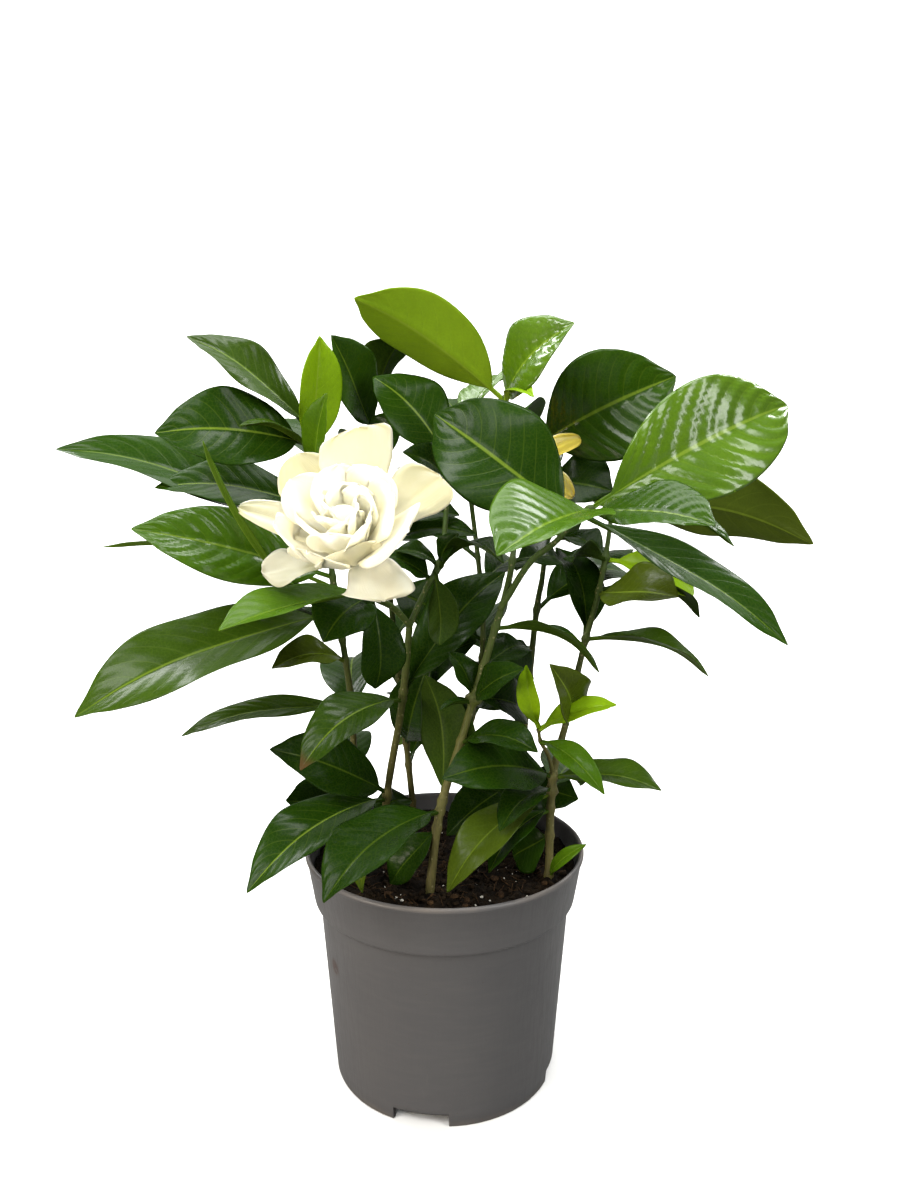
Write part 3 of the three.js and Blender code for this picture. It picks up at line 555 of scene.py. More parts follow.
class Value:
    """A number, vector or colour in a node tree. Its sums and products are Math nodes."""

    def __init__(self, tree, socket):
        self.tree, self.socket = tree, socket

    def math(self, operation, second=0.0):
        return put(self.tree, "ShaderNodeMath", {0: self, 1: second}, operation=operation)[0]

    def __add__(self, other):
        return self.math("ADD", other)

    def __sub__(self, other):
        return self.math("SUBTRACT", other)

    def __mul__(self, other):
        return self.math("MULTIPLY", other)

    def __abs__(self):
        return self.math("ABSOLUTE")

    def eased(self, low, high, new_low=0.0, new_high=1.0):
        """Eased from one range to another and held inside it."""
        sockets = {"Value": self, "From Min": low, "From Max": high,
                   "To Min": new_low, "To Max": new_high}
        return put(self.tree, "ShaderNodeMapRange", sockets,
                   interpolation_type="SMOOTHSTEP")["Result"]

    def axis(self, name):
        return put(self.tree, "ShaderNodeSeparateXYZ", {0: self})[name]

    def scaled(self, *factors):
        return put(self.tree, "ShaderNodeMapping", {"Vector": self, "Scale": factors})["Vector"]


def put(tree, kind, sockets=None, **settings):
    """Adds a node. Sockets gives an input's name or number a constant or the value feeding
    it. Returns the node's outputs by name and by number."""
    made = tree.nodes.new(kind)
    for key, value in settings.items():
        setattr(made, key, value)
    for key, value in (sockets or {}).items():
        if isinstance(value, Value):
            tree.links.new(value.socket, made.inputs[key])
        else:
            made.inputs[key].default_value = value
    outputs = [Value(tree, socket) for socket in made.outputs]
    return {**{value.socket.name: value for value in reversed(outputs)},
            **dict(enumerate(outputs))}


def tint(share, first, second):
    """The first colour turned to the second by share."""
    tree = next(value.tree for value in (share, first) if isinstance(value, Value))
    first, second = (colour if isinstance(colour, Value) else (*colour, 1.0)
                     for colour in (first, second))
    return put(tree, "ShaderNodeMix", {0: share, 6: first, 7: second}, data_type="RGBA")[2]


def noise(where, scale, detail=3.0, roughness=0.5):
    """Smooth noise near 0.5, with scale bumps to the unit of where."""
    sockets = {"Vector": where, "Scale": scale, "Detail": detail, "Roughness": roughness}
    return put(where.tree, "ShaderNodeTexNoise", sockets)["Fac"]


def ramp(value, stops):
    """A colour for each level of a value, with straight blends between the stops."""
    made = value.tree.nodes.new("ShaderNodeValToRGB")
    value.tree.links.new(value.socket, made.inputs["Fac"])
    line = made.color_ramp
    for place, colour in stops[:-2]:
        line.elements.new(place)
    for element, (place, colour) in zip(line.elements, stops):
        element.position = place
        element.color = (*colour, 1)
    return Value(value.tree, made.outputs["Color"])


def new_group(name, inputs, outputs):
    """A shader node group with named sockets of the given kinds. Returns it with its given
    inputs by name and the node that puts out its results."""
    group = bpy.data.node_groups.new(name, "ShaderNodeTree")
    for way, sockets in (("INPUT", inputs), ("OUTPUT", outputs)):
        for title, kind in sockets.items():
            group.interface.new_socket(title, in_out=way, socket_type="NodeSocket" + kind)
    given = {socket.name: Value(group, socket)
             for socket in group.nodes.new("NodeGroupInput").outputs}
    return group, given, group.nodes.new("NodeGroupOutput")


def new_finish(name, **constants):
    """A material with one Principled BSDF, its constant sockets set here."""
    finish = bpy.data.materials.new(name)
    finish.use_nodes = True
    tree = finish.node_tree
    shader = tree.nodes["Principled BSDF"]
    for key, value in constants.items():
        shader.inputs[key.replace("_", " ")].default_value = value
    return finish, tree, shader


def feed(node, **values):
    """Links values to a node's inputs, with _ for a space in an input's name."""
    for key, value in values.items():
        value.tree.links.new(value.socket, node.inputs[key.replace("_", " ")])


def relief(shader, height, distance, strength):
    """A bump of the given depth in mm from a height between 0 and 1."""
    sockets = {"Height": height, "Distance": distance * MM, "Strength": strength}
    feed(shader, Normal=put(height.tree, "ShaderNodeBump", sockets)["Normal"])


def use(tree, group, **values):
    """Places a node group with its own values, and returns its outputs."""
    sockets = {key.replace("_", " "): value for key, value in values.items()}
    return put(tree, "ShaderNodeGroup", sockets, node_tree=group)


def place_on(tree):
    """The place on the piece in metres."""
    return put(tree, "ShaderNodeTexCoord")["Object"]


def speckle_group():
    """Small specks: 1 inside scattered round spots of Size share of their cells, else 0,
    and a coarse mottle. Used on pot, stems, petals and mix for dust, pores and bruises."""
    group, given, out = new_group(
        "specks",
        {"Vector": "Vector", "Cells per metre": "Float", "Size": "Float", "Share": "Float",
         "Mottle per metre": "Float"},
        {"Specks": "Float", "Mottle": "Float"})
    cells = put(group, "ShaderNodeTexVoronoi",
                {"Vector": given["Vector"], "Scale": given["Cells per metre"]})
    near = cells["Distance"].math("LESS_THAN", given["Size"])
    draw = put(group, "ShaderNodeSeparateColor", {"Color": cells["Color"]})["Red"]
    feed(out, Specks=near * draw.math("LESS_THAN", given["Share"]),
         Mottle=noise(given["Vector"], given["Mottle per metre"], 4.0, 0.6))
    return group


def leaf_group():
    """Skin of a blade from its own surface, X from 0 at the stalk to 1 at the tip and Y
    across it. A side vein lies where along - 0.15 across - 0.11 across^2 is a whole number
    of vein spacings."""
    group, given, out = new_group(
        "leaf surface",
        {"Surface": "Vector", "Vector": "Vector", "Tone": "Float", "Olive": "Float",
         "Veins": "Float", "Wither": "Float", "Underside": "Float"},
        {"Colour": "Color", "Height": "Float", "Roughness": "Float"})
    where, tone, paleness, underside, wither = (
        given[name] for name in ("Vector", "Tone", "Veins", "Underside", "Wither"))
    along, across = given["Surface"].axis("X"), abs(given["Surface"].axis("Y") * 2.0 - 1.0)
    spacing = (along - across * (across * VEIN_LEAN[1] + VEIN_LEAN[0])) * VEIN_PAIRS
    side_vein = spacing.math("PINGPONG", 0.5).eased(0.075, 0.015) * across.eased(0.98, 0.6)
    midrib = across.eased(0.045, 0.016)
    patches = noise(where, 70.0)
    grain = noise(where, 900.0, 3.0, 0.65)
    netting = put(group, "ShaderNodeTexVoronoi", {"Vector": where, "Scale": 620.0},
                  feature="DISTANCE_TO_EDGE")["Distance"].eased(0.12, 0.0)

    green = ramp(tone + patches * 0.22 - 0.11, [
        (0.0, (0.006, 0.020, 0.001)), (0.25, (0.015, 0.046, 0.002)),
        (0.5, (0.040, 0.098, 0.003)), (0.75, (0.095, 0.190, 0.004)),
        (1.0, (0.230, 0.400, 0.006)),
    ])
    olive = tint(given["Olive"], green, (0.058, 0.072, 0.006))
    shaded = tint(grain * 0.35, olive, (0.003, 0.009, 0.001))
    lines = (side_vein * paleness * 0.34).math("MAXIMUM", netting * 0.08)
    veined = tint(lines, shaded, tint(0.40, olive, (0.24, 0.34, 0.03)))
    ribbed = tint(midrib * (paleness * 0.78 + 0.03), veined, (0.22, 0.32, 0.03))
    below = tint(underside * (tone * 0.26 + 0.10), ribbed, (0.100, 0.145, 0.018))
    feed(out, Colour=tint(wither, below, (0.056, 0.034, 0.011)),
         Height=grain * 0.25 - side_vein.math("MAXIMUM", netting * 0.35),
         Roughness=patches * 0.22 + 0.17 + underside * 0.24 + wither * 0.3)
    return group


def leaf_finish(name, group, underside, coat):
    """One side of the blades, from each blade's state and gloss. Coat is the share of the
    gloss that this side shows."""
    finish, tree, shader = new_finish(
        name, IOR=1.16, Specular_IOR_Level=0.25, Coat_Roughness=0.19)
    state = put(tree, "ShaderNodeAttribute", attribute_name="state")
    gloss = put(tree, "ShaderNodeAttribute", attribute_name="gloss")["Fac"]
    parts = put(tree, "ShaderNodeSeparateColor", {"Color": state["Color"]})
    where = put(tree, "ShaderNodeTexCoord")
    surface = use(tree, group, Surface=where["UV"], Vector=where["Object"],
                  Tone=parts["Red"], Olive=parts["Green"], Veins=parts["Blue"],
                  Wither=state["Alpha"], Underside=underside)
    feed(shader, Base_Color=surface["Colour"], Roughness=surface["Roughness"],
         Coat_Weight=gloss * coat)
    relief(shader, surface["Height"], 0.13, 0.50)
    return finish


def bark_finish(specks):
    """Olive-brown bark that turns green up the stem, with pores and lengthwise cracks."""
    finish, tree, shader = new_finish("bark", IOR=1.3)
    where = place_on(tree)
    streaks = noise(where.scaled(1800, 1800, 90), 1.0, 4.0, 0.6)
    marks = use(tree, specks, Vector=where, Cells_per_metre=520.0, Size=0.26, Share=0.4,
                Mottle_per_metre=120.0)
    level = where.axis("Z").eased(0.10, 0.27) + marks["Mottle"] * 0.5 - 0.25
    colour = ramp(level, [
        (0.0, (0.105, 0.094, 0.028)), (0.35, (0.080, 0.082, 0.017)),
        (0.65, (0.045, 0.068, 0.009)), (1.0, (0.032, 0.066, 0.006)),
    ])
    cracked = tint(streaks.eased(0.35, 0.75, 0.0, 0.55), colour, (0.030, 0.024, 0.010))
    feed(shader, Base_Color=tint(marks["Specks"] * 0.4, cracked, (0.25, 0.22, 0.11)),
         Roughness=streaks.eased(0.2, 0.8, 0.48, 0.72))
    relief(shader, streaks + marks["Specks"], 0.14, 0.7)
    return finish


def petal_finish(name, specks, clean, creamy, edge, wrinkle):
    """Soft petal flesh: clean colour turning creamy with the petal's own share of cream and
    toward its end, an edge tint, fine lengthwise veins, and faint bruises."""
    finish, tree, shader = new_finish(
        name, IOR=1.25, Subsurface_Weight=0.7, Subsurface_Scale=0.012,
        Subsurface_Radius=(1.0, 0.95, 0.80), Sheen_Weight=0.1)
    state = put(tree, "ShaderNodeAttribute", attribute_name="state")
    cream = put(tree, "ShaderNodeSeparateColor", {"Color": state["Color"]})["Red"]
    where = put(tree, "ShaderNodeTexCoord")
    along, across = where["UV"].axis("X"), abs(where["UV"].axis("Y") * 2.0 - 1.0)
    lines = noise(where["UV"].scaled(2.5, 38, 1), 1.0, 3.0, 0.6)
    marks = use(tree, specks, Vector=where["Object"], Cells_per_metre=260.0, Size=0.12,
                Share=0.06, Mottle_per_metre=130.0)
    share = cream * along.eased(0.2, 1.0, 0.5, 1.25) + marks["Mottle"] * 0.3 - 0.15
    flesh = tint(share, clean, creamy)
    lined = tint(lines * 0.16, flesh, creamy)
    edged = tint(across.eased(0.86, 1.0) * 0.35, lined, edge)
    feed(shader, Base_Color=tint(marks["Specks"] * 0.35, edged, edge),
         Roughness=lines.eased(0.2, 0.8, 0.46, 0.62))
    relief(shader, marks["Mottle"] * wrinkle + lines, 0.18, 0.5)
    return finish


def pot_finish(specks):
    """Grey moulded plastic: faint flow lines round the wall, scuffs, dust and mud near the
    rim and the foot, and one dark smear on the wall."""
    finish, tree, shader = new_finish("grey plastic", IOR=1.46)
    where = place_on(tree)
    height = where.axis("Z")
    marks = use(tree, specks, Vector=where, Cells_per_metre=380.0, Size=0.10, Share=0.10,
                Mottle_per_metre=22.0)
    flow = noise(where.scaled(60, 60, 420), 1.0, 3.0, 0.6)
    scuffs = noise(where.scaled(700, 700, 26), 1.0, 5.0, 0.7)
    plain = tint(marks["Mottle"], (0.058, 0.057, 0.060), (0.075, 0.073, 0.073))
    flowed = tint(flow.eased(0.35, 0.8, 0.0, 0.14), plain, (0.108, 0.102, 0.100))
    scuffed = tint(scuffs.eased(0.62, 0.85, 0.0, 0.30), flowed, (0.150, 0.142, 0.134))
    dust = (height.eased(0.004, 0.0, 0.0, 0.6) + height.eased(0.1065, 0.1085, 0.0, 0.55)) \
        * marks["Mottle"].eased(0.35, 0.7)
    dusty = tint(dust, scuffed, (0.16, 0.13, 0.10))
    muddy = tint(marks["Specks"] * 0.45, dusty, (0.060, 0.042, 0.028))
    from_smear = put(tree, "ShaderNodeVectorMath", {0: where, 1: SMEAR_MIDDLE},
                     operation="DISTANCE")["Value"]
    smear = from_smear.eased(0.0048, 0.0022) * noise(where, 700.0).eased(0.36, 0.46)
    feed(shader, Base_Color=tint(smear * 0.9, muddy, (0.034, 0.014, 0.009)),
         Roughness=scuffs.eased(0.3, 0.8, 0.38, 0.52) + dust * 0.25)
    relief(shader, noise(where, 2600.0, 2.0) * 0.7 + flow, 0.06, 0.40)
    return finish


def crumb_finish(name, specks, dark, light, rough):
    """Matt crumbly matter between a dark and a light colour, for mix, chips and perlite."""
    finish, tree, shader = new_finish(name, IOR=1.2)
    where = place_on(tree)
    marks = use(tree, specks, Vector=where, Cells_per_metre=900.0, Size=0.28, Share=0.3,
                Mottle_per_metre=170.0)
    grain = noise(where, 1400.0, 4.0, 0.7)
    mixed = tint(marks["Mottle"].eased(0.3, 0.75), dark, light)
    grained = tint(grain.eased(0.35, 0.75, 0.0, 0.7), mixed, dark)
    feed(shader, Base_Color=tint(marks["Specks"] * 0.35, grained, light),
         Roughness=grain.eased(0.2, 0.8, rough - 0.1, rough))
    relief(shader, grain + marks["Mottle"], 0.5, 0.9)
    return finish


def calyx_finish(specks):
    """Fresh green with fine lengthwise streaks and a mottle."""
    finish, tree, shader = new_finish("green calyx", IOR=1.45, Coat_Weight=0.1)
    where = place_on(tree)
    marks = use(tree, specks, Vector=where, Cells_per_metre=700.0, Size=0.2, Share=0.2,
                Mottle_per_metre=220.0)
    streaks = noise(where.scaled(1500, 300, 900), 1.0)
    green = tint(marks["Mottle"], (0.050, 0.120, 0.014), (0.120, 0.230, 0.030))
    feed(shader, Base_Color=tint(streaks.eased(0.4, 0.8, 0.0, 0.5), green,
                                 (0.190, 0.270, 0.070)),
         Roughness=streaks.eased(0.2, 0.8, 0.38, 0.55))
    relief(shader, streaks, 0.12, 0.5)
    return finish


SPECKS = speckle_group()
LEAF_SURFACE = leaf_group()
LEAF_TOP = leaf_finish("leaf upper side", LEAF_SURFACE, 0.0, 1.0)
LEAF_UNDER = leaf_finish("leaf underside", LEAF_SURFACE, 1.0, 0.1)
BARK = bark_finish(SPECKS)
CALYX = calyx_finish(SPECKS)
IVORY = petal_finish("ivory petal", SPECKS, (0.94, 0.92, 0.73), (0.74, 0.64, 0.28),
                     (0.70, 0.57, 0.22), 0.4)
FADED = petal_finish("faded petal", SPECKS, (0.86, 0.66, 0.050), (0.80, 0.50, 0.015),
                     (0.55, 0.33, 0.03), 1.2)
PLASTIC = pot_finish(SPECKS)
# The mix and its crumbs are coloured darker than the mix's own brown. The extra darkness is painted
# shade for the shadow the foliage casts over the pot.
MIX_WITH_PAINTED_SHADE = crumb_finish("potting mix in painted shade", SPECKS, (0.003, 0.002, 0.001), (0.015, 0.009, 0.004), 0.95)
CRUMB_WITH_PAINTED_SHADE = crumb_finish("mix crumb in painted shade", SPECKS, (0.006, 0.004, 0.002), (0.024, 0.014, 0.006), 0.95)
CHIP = crumb_finish("bark chip", SPECKS, (0.022, 0.012, 0.006), (0.076, 0.042, 0.018), 0.9)
GRAIN = crumb_finish("perlite", SPECKS, (0.42, 0.40, 0.34), (0.72, 0.69, 0.62), 0.85)


# Leafy stems

def blade_shape(base, tip, width, turn, arch, fold, look, grid, draw):
    """Upper and lower skins of leaves, all arrays over (leaf, row, column). With t along and
    v across: midrib = base + c L t + n arch L 4t(1 - t); half width = width / 2 sin(pi u)^0.7,
    u = (t - 0.1) / 0.9; skin = midrib + s half v cos(fold) + n half |v| sin(fold), raised
    between the side veins, sunk at the midrib, waved at the margin and drooped at the tip."""
    rows, columns = grid
    each = lambda values: np.asarray(values, float)[:, None, None]
    quilt, droop, wave = (each(look[:, k]) for k in (2, 4, 5))
    length = np.linalg.norm(tip - base, axis=1)
    c = (tip - base) / length[:, None]
    steep = np.clip((np.abs(c[:, 2:]) - 0.9) / 0.1, 0, 1)
    inward = -(base + tip) / 2 * np.array([1, 1, 0]) + 1e-6
    rest = unit(UP * (1 - steep) + unit(inward) * steep)
    n = unit(rest - np.sum(rest * c, axis=1, keepdims=True) * c)
    n = about(n, c, np.radians(turn)[:, None])
    s = np.cross(c, n)
    base, c, n, s = (vectors[:, None, None] for vectors in (base, c, n, s))
    t = np.linspace(0, 1, rows)[None, :, None]
    v = np.sin(np.linspace(-np.pi / 2, np.pi / 2, columns))[None, None, :]
    v = 0.55 * v + 0.45 * np.linspace(-1, 1, columns)[None, None, :]
    u = np.clip((t - PETIOLE) / (1 - PETIOLE), 0, 1)
    size = each(length)
    blade = each(width) / 2 * np.sin(np.pi * u ** (0.94 + 0.12 * draw[0])) ** 0.7
    blade = blade * (1 - 0.25 * ease(u, 0.86, 0.97))
    stalk = PETIOLE_HALF_WIDTH * (1 - 0.75 * ease(t, 0.03, 0.9))
    half = np.sqrt(blade ** 2 + stalk ** 2)
    roll = ((0.35 * draw[1] - 0.17) * (t - 0.35))[..., None]
    side = s * np.cos(roll) + n * np.sin(roll)
    face = n * np.cos(roll) - s * np.sin(roll)
    across = np.abs(v)
    lean = VEIN_LEAN[0] * across + VEIN_LEAN[1] * across ** 2
    spacing = (u - lean) * VEIN_PAIRS
    bulge = np.abs(np.sin(np.pi * spacing)) ** 0.7 * across ** 0.4 * (1 - across ** 5)
    on_blade = ease(u, 0.02, 0.2) * (1 - ease(u, 0.9, 1))
    bend = each(fold) * np.pi / 180
    raised = half * (np.sqrt(across ** 2 + 0.012) - 0.11) * np.sin(bend) \
        + quilt * bulge * on_blade \
        - 0.4 * np.exp(-(v * half / 0.8) ** 2) * on_blade \
        + wave * half * across ** 3 * np.sin(2 * np.pi * (1.7 * u + draw[2]) + v * 1.4)
    hang = droop * size * (2.2 * t * ease(t, 0.55, 1.25) - 1.56 * t)
    lift = each(arch) * size * 4 * t * (1 - t) - hang
    sway = (0.07 * draw[3] - 0.035) * size * 4 * t * (1 - t)
    middle = base + c * (size * t)[..., None] + n * lift[..., None] + s * sway[..., None]
    upper = middle + side * (half * v * np.cos(bend))[..., None] + face * raised[..., None]
    under = grid_normals(upper)
    rib = (1.35 - 0.95 * t) * np.exp(-(v * half / (1.0 - 0.35 * t)) ** 2)
    depth = (BLADE_THICKNESS * (1 - 0.4 * across ** 4) + rib) * (1 - ease(t, 0.95, 1.02) * 0.7)
    lower = upper - under * depth[..., None]
    along = np.broadcast_to(u, upper.shape[:3])
    over = np.broadcast_to((v + 1) / 2, upper.shape[:3])
    return upper, lower, np.stack([along, over], -1)


def leafy_stem(letter):
    """The canes and leaves of one stem: canes are tubes along its curves, swollen where each
    leaf joins, and leaves are two-skinned sheets with their stalks sunk in the cane."""
    dice = np.random.RandomState(ord(letter) * 7 + 5)
    canes, small, large = [], [], []
    for name, (foot_radius, tip_radius, route) in CANES.items():
        if name[0] != letter:
            continue
        path = curve_through(route, CANE_ROWS)
        share = np.linspace(0, 1, CANE_ROWS)
        radius = foot_radius + (tip_radius - foot_radius) * share
        for height, *tip, width, turn, arch, fold, look in LEAVES.get(name, ()):
            node = np.argmin(np.abs(path[:, 2] - height))
            away = np.linalg.norm(path - path[node], axis=1)
            radius = radius * (1 + NODE_SWELL * np.exp(-(away / NODE_LENGTH) ** 2))
            leaf = (path[node], tip, width, turn, arch, fold, LOOKS[look])
            long_one = np.linalg.norm(np.array(tip) - path[node]) > LARGE_LEAF
            (large if long_one else small).append(leaf)
        knots = dice.uniform(-1, 1, CANE_KNOTS)
        radius = radius * (1 + 0.05 * np.interp(
            share * (CANE_KNOTS - 1), np.arange(CANE_KNOTS), knots))
        if name == letter:
            path = np.vstack([path[:1] - [[0, 0, CANE_SUNK]], path])
            radius = np.concatenate([radius[:1], radius])
        radius[-1] *= 0.5
        canes.append(tube(path, radius, CANE_SIDES, 0.05))
    stem = letter.lower()
    pieces = [new_piece(f"cane_{stem}", *gathered(canes), [BARK])]
    for size, leaves, grid in (("large", large, LARGE_LEAF_GRID),
                               ("small", small, SMALL_LEAF_GRID)):
        base, tip, width, turn, arch, fold, look = (
            np.array([leaf[k] for leaf in leaves], float) for k in range(7))
        draw = dice.uniform(0, 1, (5, len(leaves), 1, 1))
        upper, lower, uv = blade_shape(base, tip, width, turn, arch, fold, look, grid, draw)
        points, uv = two_skins(upper, lower), two_skins(uv, uv)
        tone, olive, _, veins, _, _, wither, gloss = (look[:, k, None, None] for k in range(8))
        state = np.zeros((*points.shape[:3], 4), np.float32)
        state[..., 0] = tone + (draw[4] - 0.5) * 0.10
        state[..., 1] = olive
        state[..., 2] = veins
        state[..., 3] = wither * ease(uv[..., 0], 0.88, 0.97)
        quads, triangles, lower_side = sheet_faces(len(leaves), *grid)
        pieces.append(new_piece(
            f"leaves_{stem}_{size}", points, quads, triangles, [LEAF_TOP, LEAF_UNDER],
            lower_side, uv, state, np.broadcast_to(gloss, points.shape[:3])))
    return pieces


# Flowers

def petal_sheets(flower, dice):
    """Skins of all petals, arrays over (petal, row, column). With t along, v across and
    open = start + bend t: middle = seat + outward (root + L (cos start - cos open) / bend)
    + axis L (sin open - sin start) / bend; skin = middle + side h v + face (cup h v^2 + waves).
    The outline h widens as 1.25 t^0.75 and rounds off at the end, squarer for some. Where one
    side reaches farther, t is first stretched by 1 + slant v h t^2."""
    axis = unit(np.array(flower["axis"]))
    top = unit(UP - UP @ axis * axis)
    rows, columns = PETAL_GRID
    table = np.array(flower["petals"], float)
    each = lambda k: table[:, k, None, None]
    outward = about(top, axis, -np.radians(each(0))[..., None])
    across = np.cross(outward, axis)
    v = np.linspace(-1, 1, columns)[None, None, :]
    t = np.linspace(0, 1, rows)[None, :, None]
    shape = (len(table), rows, columns)
    outline = np.minimum(1, 1.25 * t ** 0.75) * np.sqrt(np.clip(
        1 - t ** (5 + 9 * each(7)), 0.002, 1))
    t = t * (1 + each(10) * v * outline * t ** 2)
    start, end = np.radians(each(3)), np.radians(each(4))
    length, width, cup = each(1), each(2), each(5)
    bend = end - start
    open_ = start + bend * t
    axis_part = length * (np.sin(open_) - np.sin(start)) / bend
    out_part = PETAL_ROOT + length * (np.cos(start) - np.cos(open_)) / bend
    middle = np.array(flower["seat"]) + outward * out_part[..., None] \
        + axis * axis_part[..., None]
    along = axis * np.cos(open_)[..., None] + outward * np.sin(open_)[..., None]
    turn = np.radians(each(6)) * np.minimum(1, 2 * t)
    side = about(np.broadcast_to(across, along.shape), along, turn[..., None])
    face = np.cross(side, along)
    half = np.maximum(0.10, outline) * width / 2
    draw = dice.uniform(0, 1, (3, len(table), 1, 1))
    ruffle = each(8) * half * np.abs(v) ** 2.2 * ease(t, 0.15, 0.8) \
        * np.sin(2 * np.pi * (1.3 * t + draw[0]) + 1.9 * v)
    margin = -0.16 * half * ease(np.abs(v), 0.72, 1.0) * ease(t, 0.2, 0.6)
    dimple = 0.5 * np.sin(7 * v + 6 * draw[1]) * ease(t, 0.1, 0.5) * np.sin(5 * t + 5 * draw[2])
    crease = 0.8 * np.exp(-(v / 0.12) ** 2) * (1 - t) * ease(t, 0.05, 0.3)
    raised = cup * half * v ** 2 + ruffle + margin + dimple - crease
    upper = middle + side * (half * v)[..., None] + face * raised[..., None]
    normal = grid_normals(upper)
    depth = PETAL_THICKNESS * (1 - 0.55 * np.abs(v) ** 3) * (1 - 0.4 * t)
    uv = np.stack([t, np.broadcast_to((v + 1) / 2, shape)], -1)
    state = np.zeros((*shape, 4))
    state[..., 0] = each(9)
    return upper, upper - normal * depth[..., None], uv, state


def bloom(name, flower, finish, seed):
    """The petals of one flower and the tube that carries them down into the calyx."""
    upper, lower, uv, state = petal_sheets(flower, np.random.RandomState(seed))
    points, uv, state = two_skins(upper, lower), two_skins(uv, uv), two_skins(state, state)
    quads, triangles, _ = sheet_faces(len(upper), *PETAL_GRID)
    petals = new_piece(f"{name}_petals", points, quads, triangles, [finish],
                       uv=uv, state=state)
    foot, seat = np.array(flower["foot"], float), np.array(flower["seat"], float)
    along = unit(seat - foot)
    share = np.linspace(0, 1, FLOWER_TUBE_GRID[0])
    length = np.linalg.norm(seat - foot) + 1.5 - CALYX_LENGTH / 2 - SEAT_GAP
    path = foot + along * (CALYX_LENGTH / 2 + SEAT_GAP + share * length)[:, None]
    radius = FLOWER_TUBE_RADIUS * (0.92 + 0.45 * ease(share, 0.6, 1.0))
    stalk = new_piece(f"{name}_tube", *tube(path, radius, FLOWER_TUBE_GRID[1], 0.04), [finish])
    return [petals, stalk]


def calyx(name, flower):
    """The green cup under a flower: a ribbed tube with a hollow end and six narrow lobes."""
    foot, seat = np.array(flower["foot"], float), np.array(flower["seat"], float)
    along = unit(seat - foot)
    profile = np.array([[-1.5, 1.3], [0, 1.9], [3, 2.9], [CALYX_LENGTH, CALYX_RADIUS],
                        [CALYX_LENGTH, 2.7], [CALYX_LENGTH / 2 + 0.2, 2.6],
                        [CALYX_LENGTH / 2, 0.6]])
    fine = np.linspace(0, len(profile) - 1, CALYX_GRID[0])
    level, radius = (np.interp(fine, np.arange(len(profile)), column) for column in profile.T)
    angle = circle(CALYX_GRID[1])
    side = unit(np.cross(along, [1.0, 0.3, 0.0]))
    ribs = 1 + 0.09 * np.cos(CALYX_LOBES * angle)
    rings = foot + level[:, None, None] * along \
        + (radius[:, None] * ribs)[..., None] * about(side, along, angle[:, None])
    ends = foot + np.array([[level[0]], [level[-1]]]) * along
    parts = [(np.vstack([rings.reshape(-1, 3), ends]), *ring_faces(*CALYX_GRID))]
    share = np.linspace(0, 1, LOBE_GRID[0])[:, None]
    for spot in circle(CALYX_LOBES):
        path = foot + along * (CALYX_LENGTH - 1 + 8 * share) \
            + about(side, along, spot) * (CALYX_RADIUS * 0.92 + 1.8 * share ** 2)
        parts.append(tube(path, 0.75 * np.sqrt(1.02 - share[:, 0] ** 2) + 0.05, LOBE_GRID[1]))
    return new_piece(name, *gathered(parts), [CALYX])


# Pot

def body_radius(height):
    """Outer radius of the tapering wall, straight from the foot to the rim band."""
    return FOOT_RADIUS + (BODY_TOP_RADIUS - FOOT_RADIUS) * height / (POT_HEIGHT - RIM_BAND)


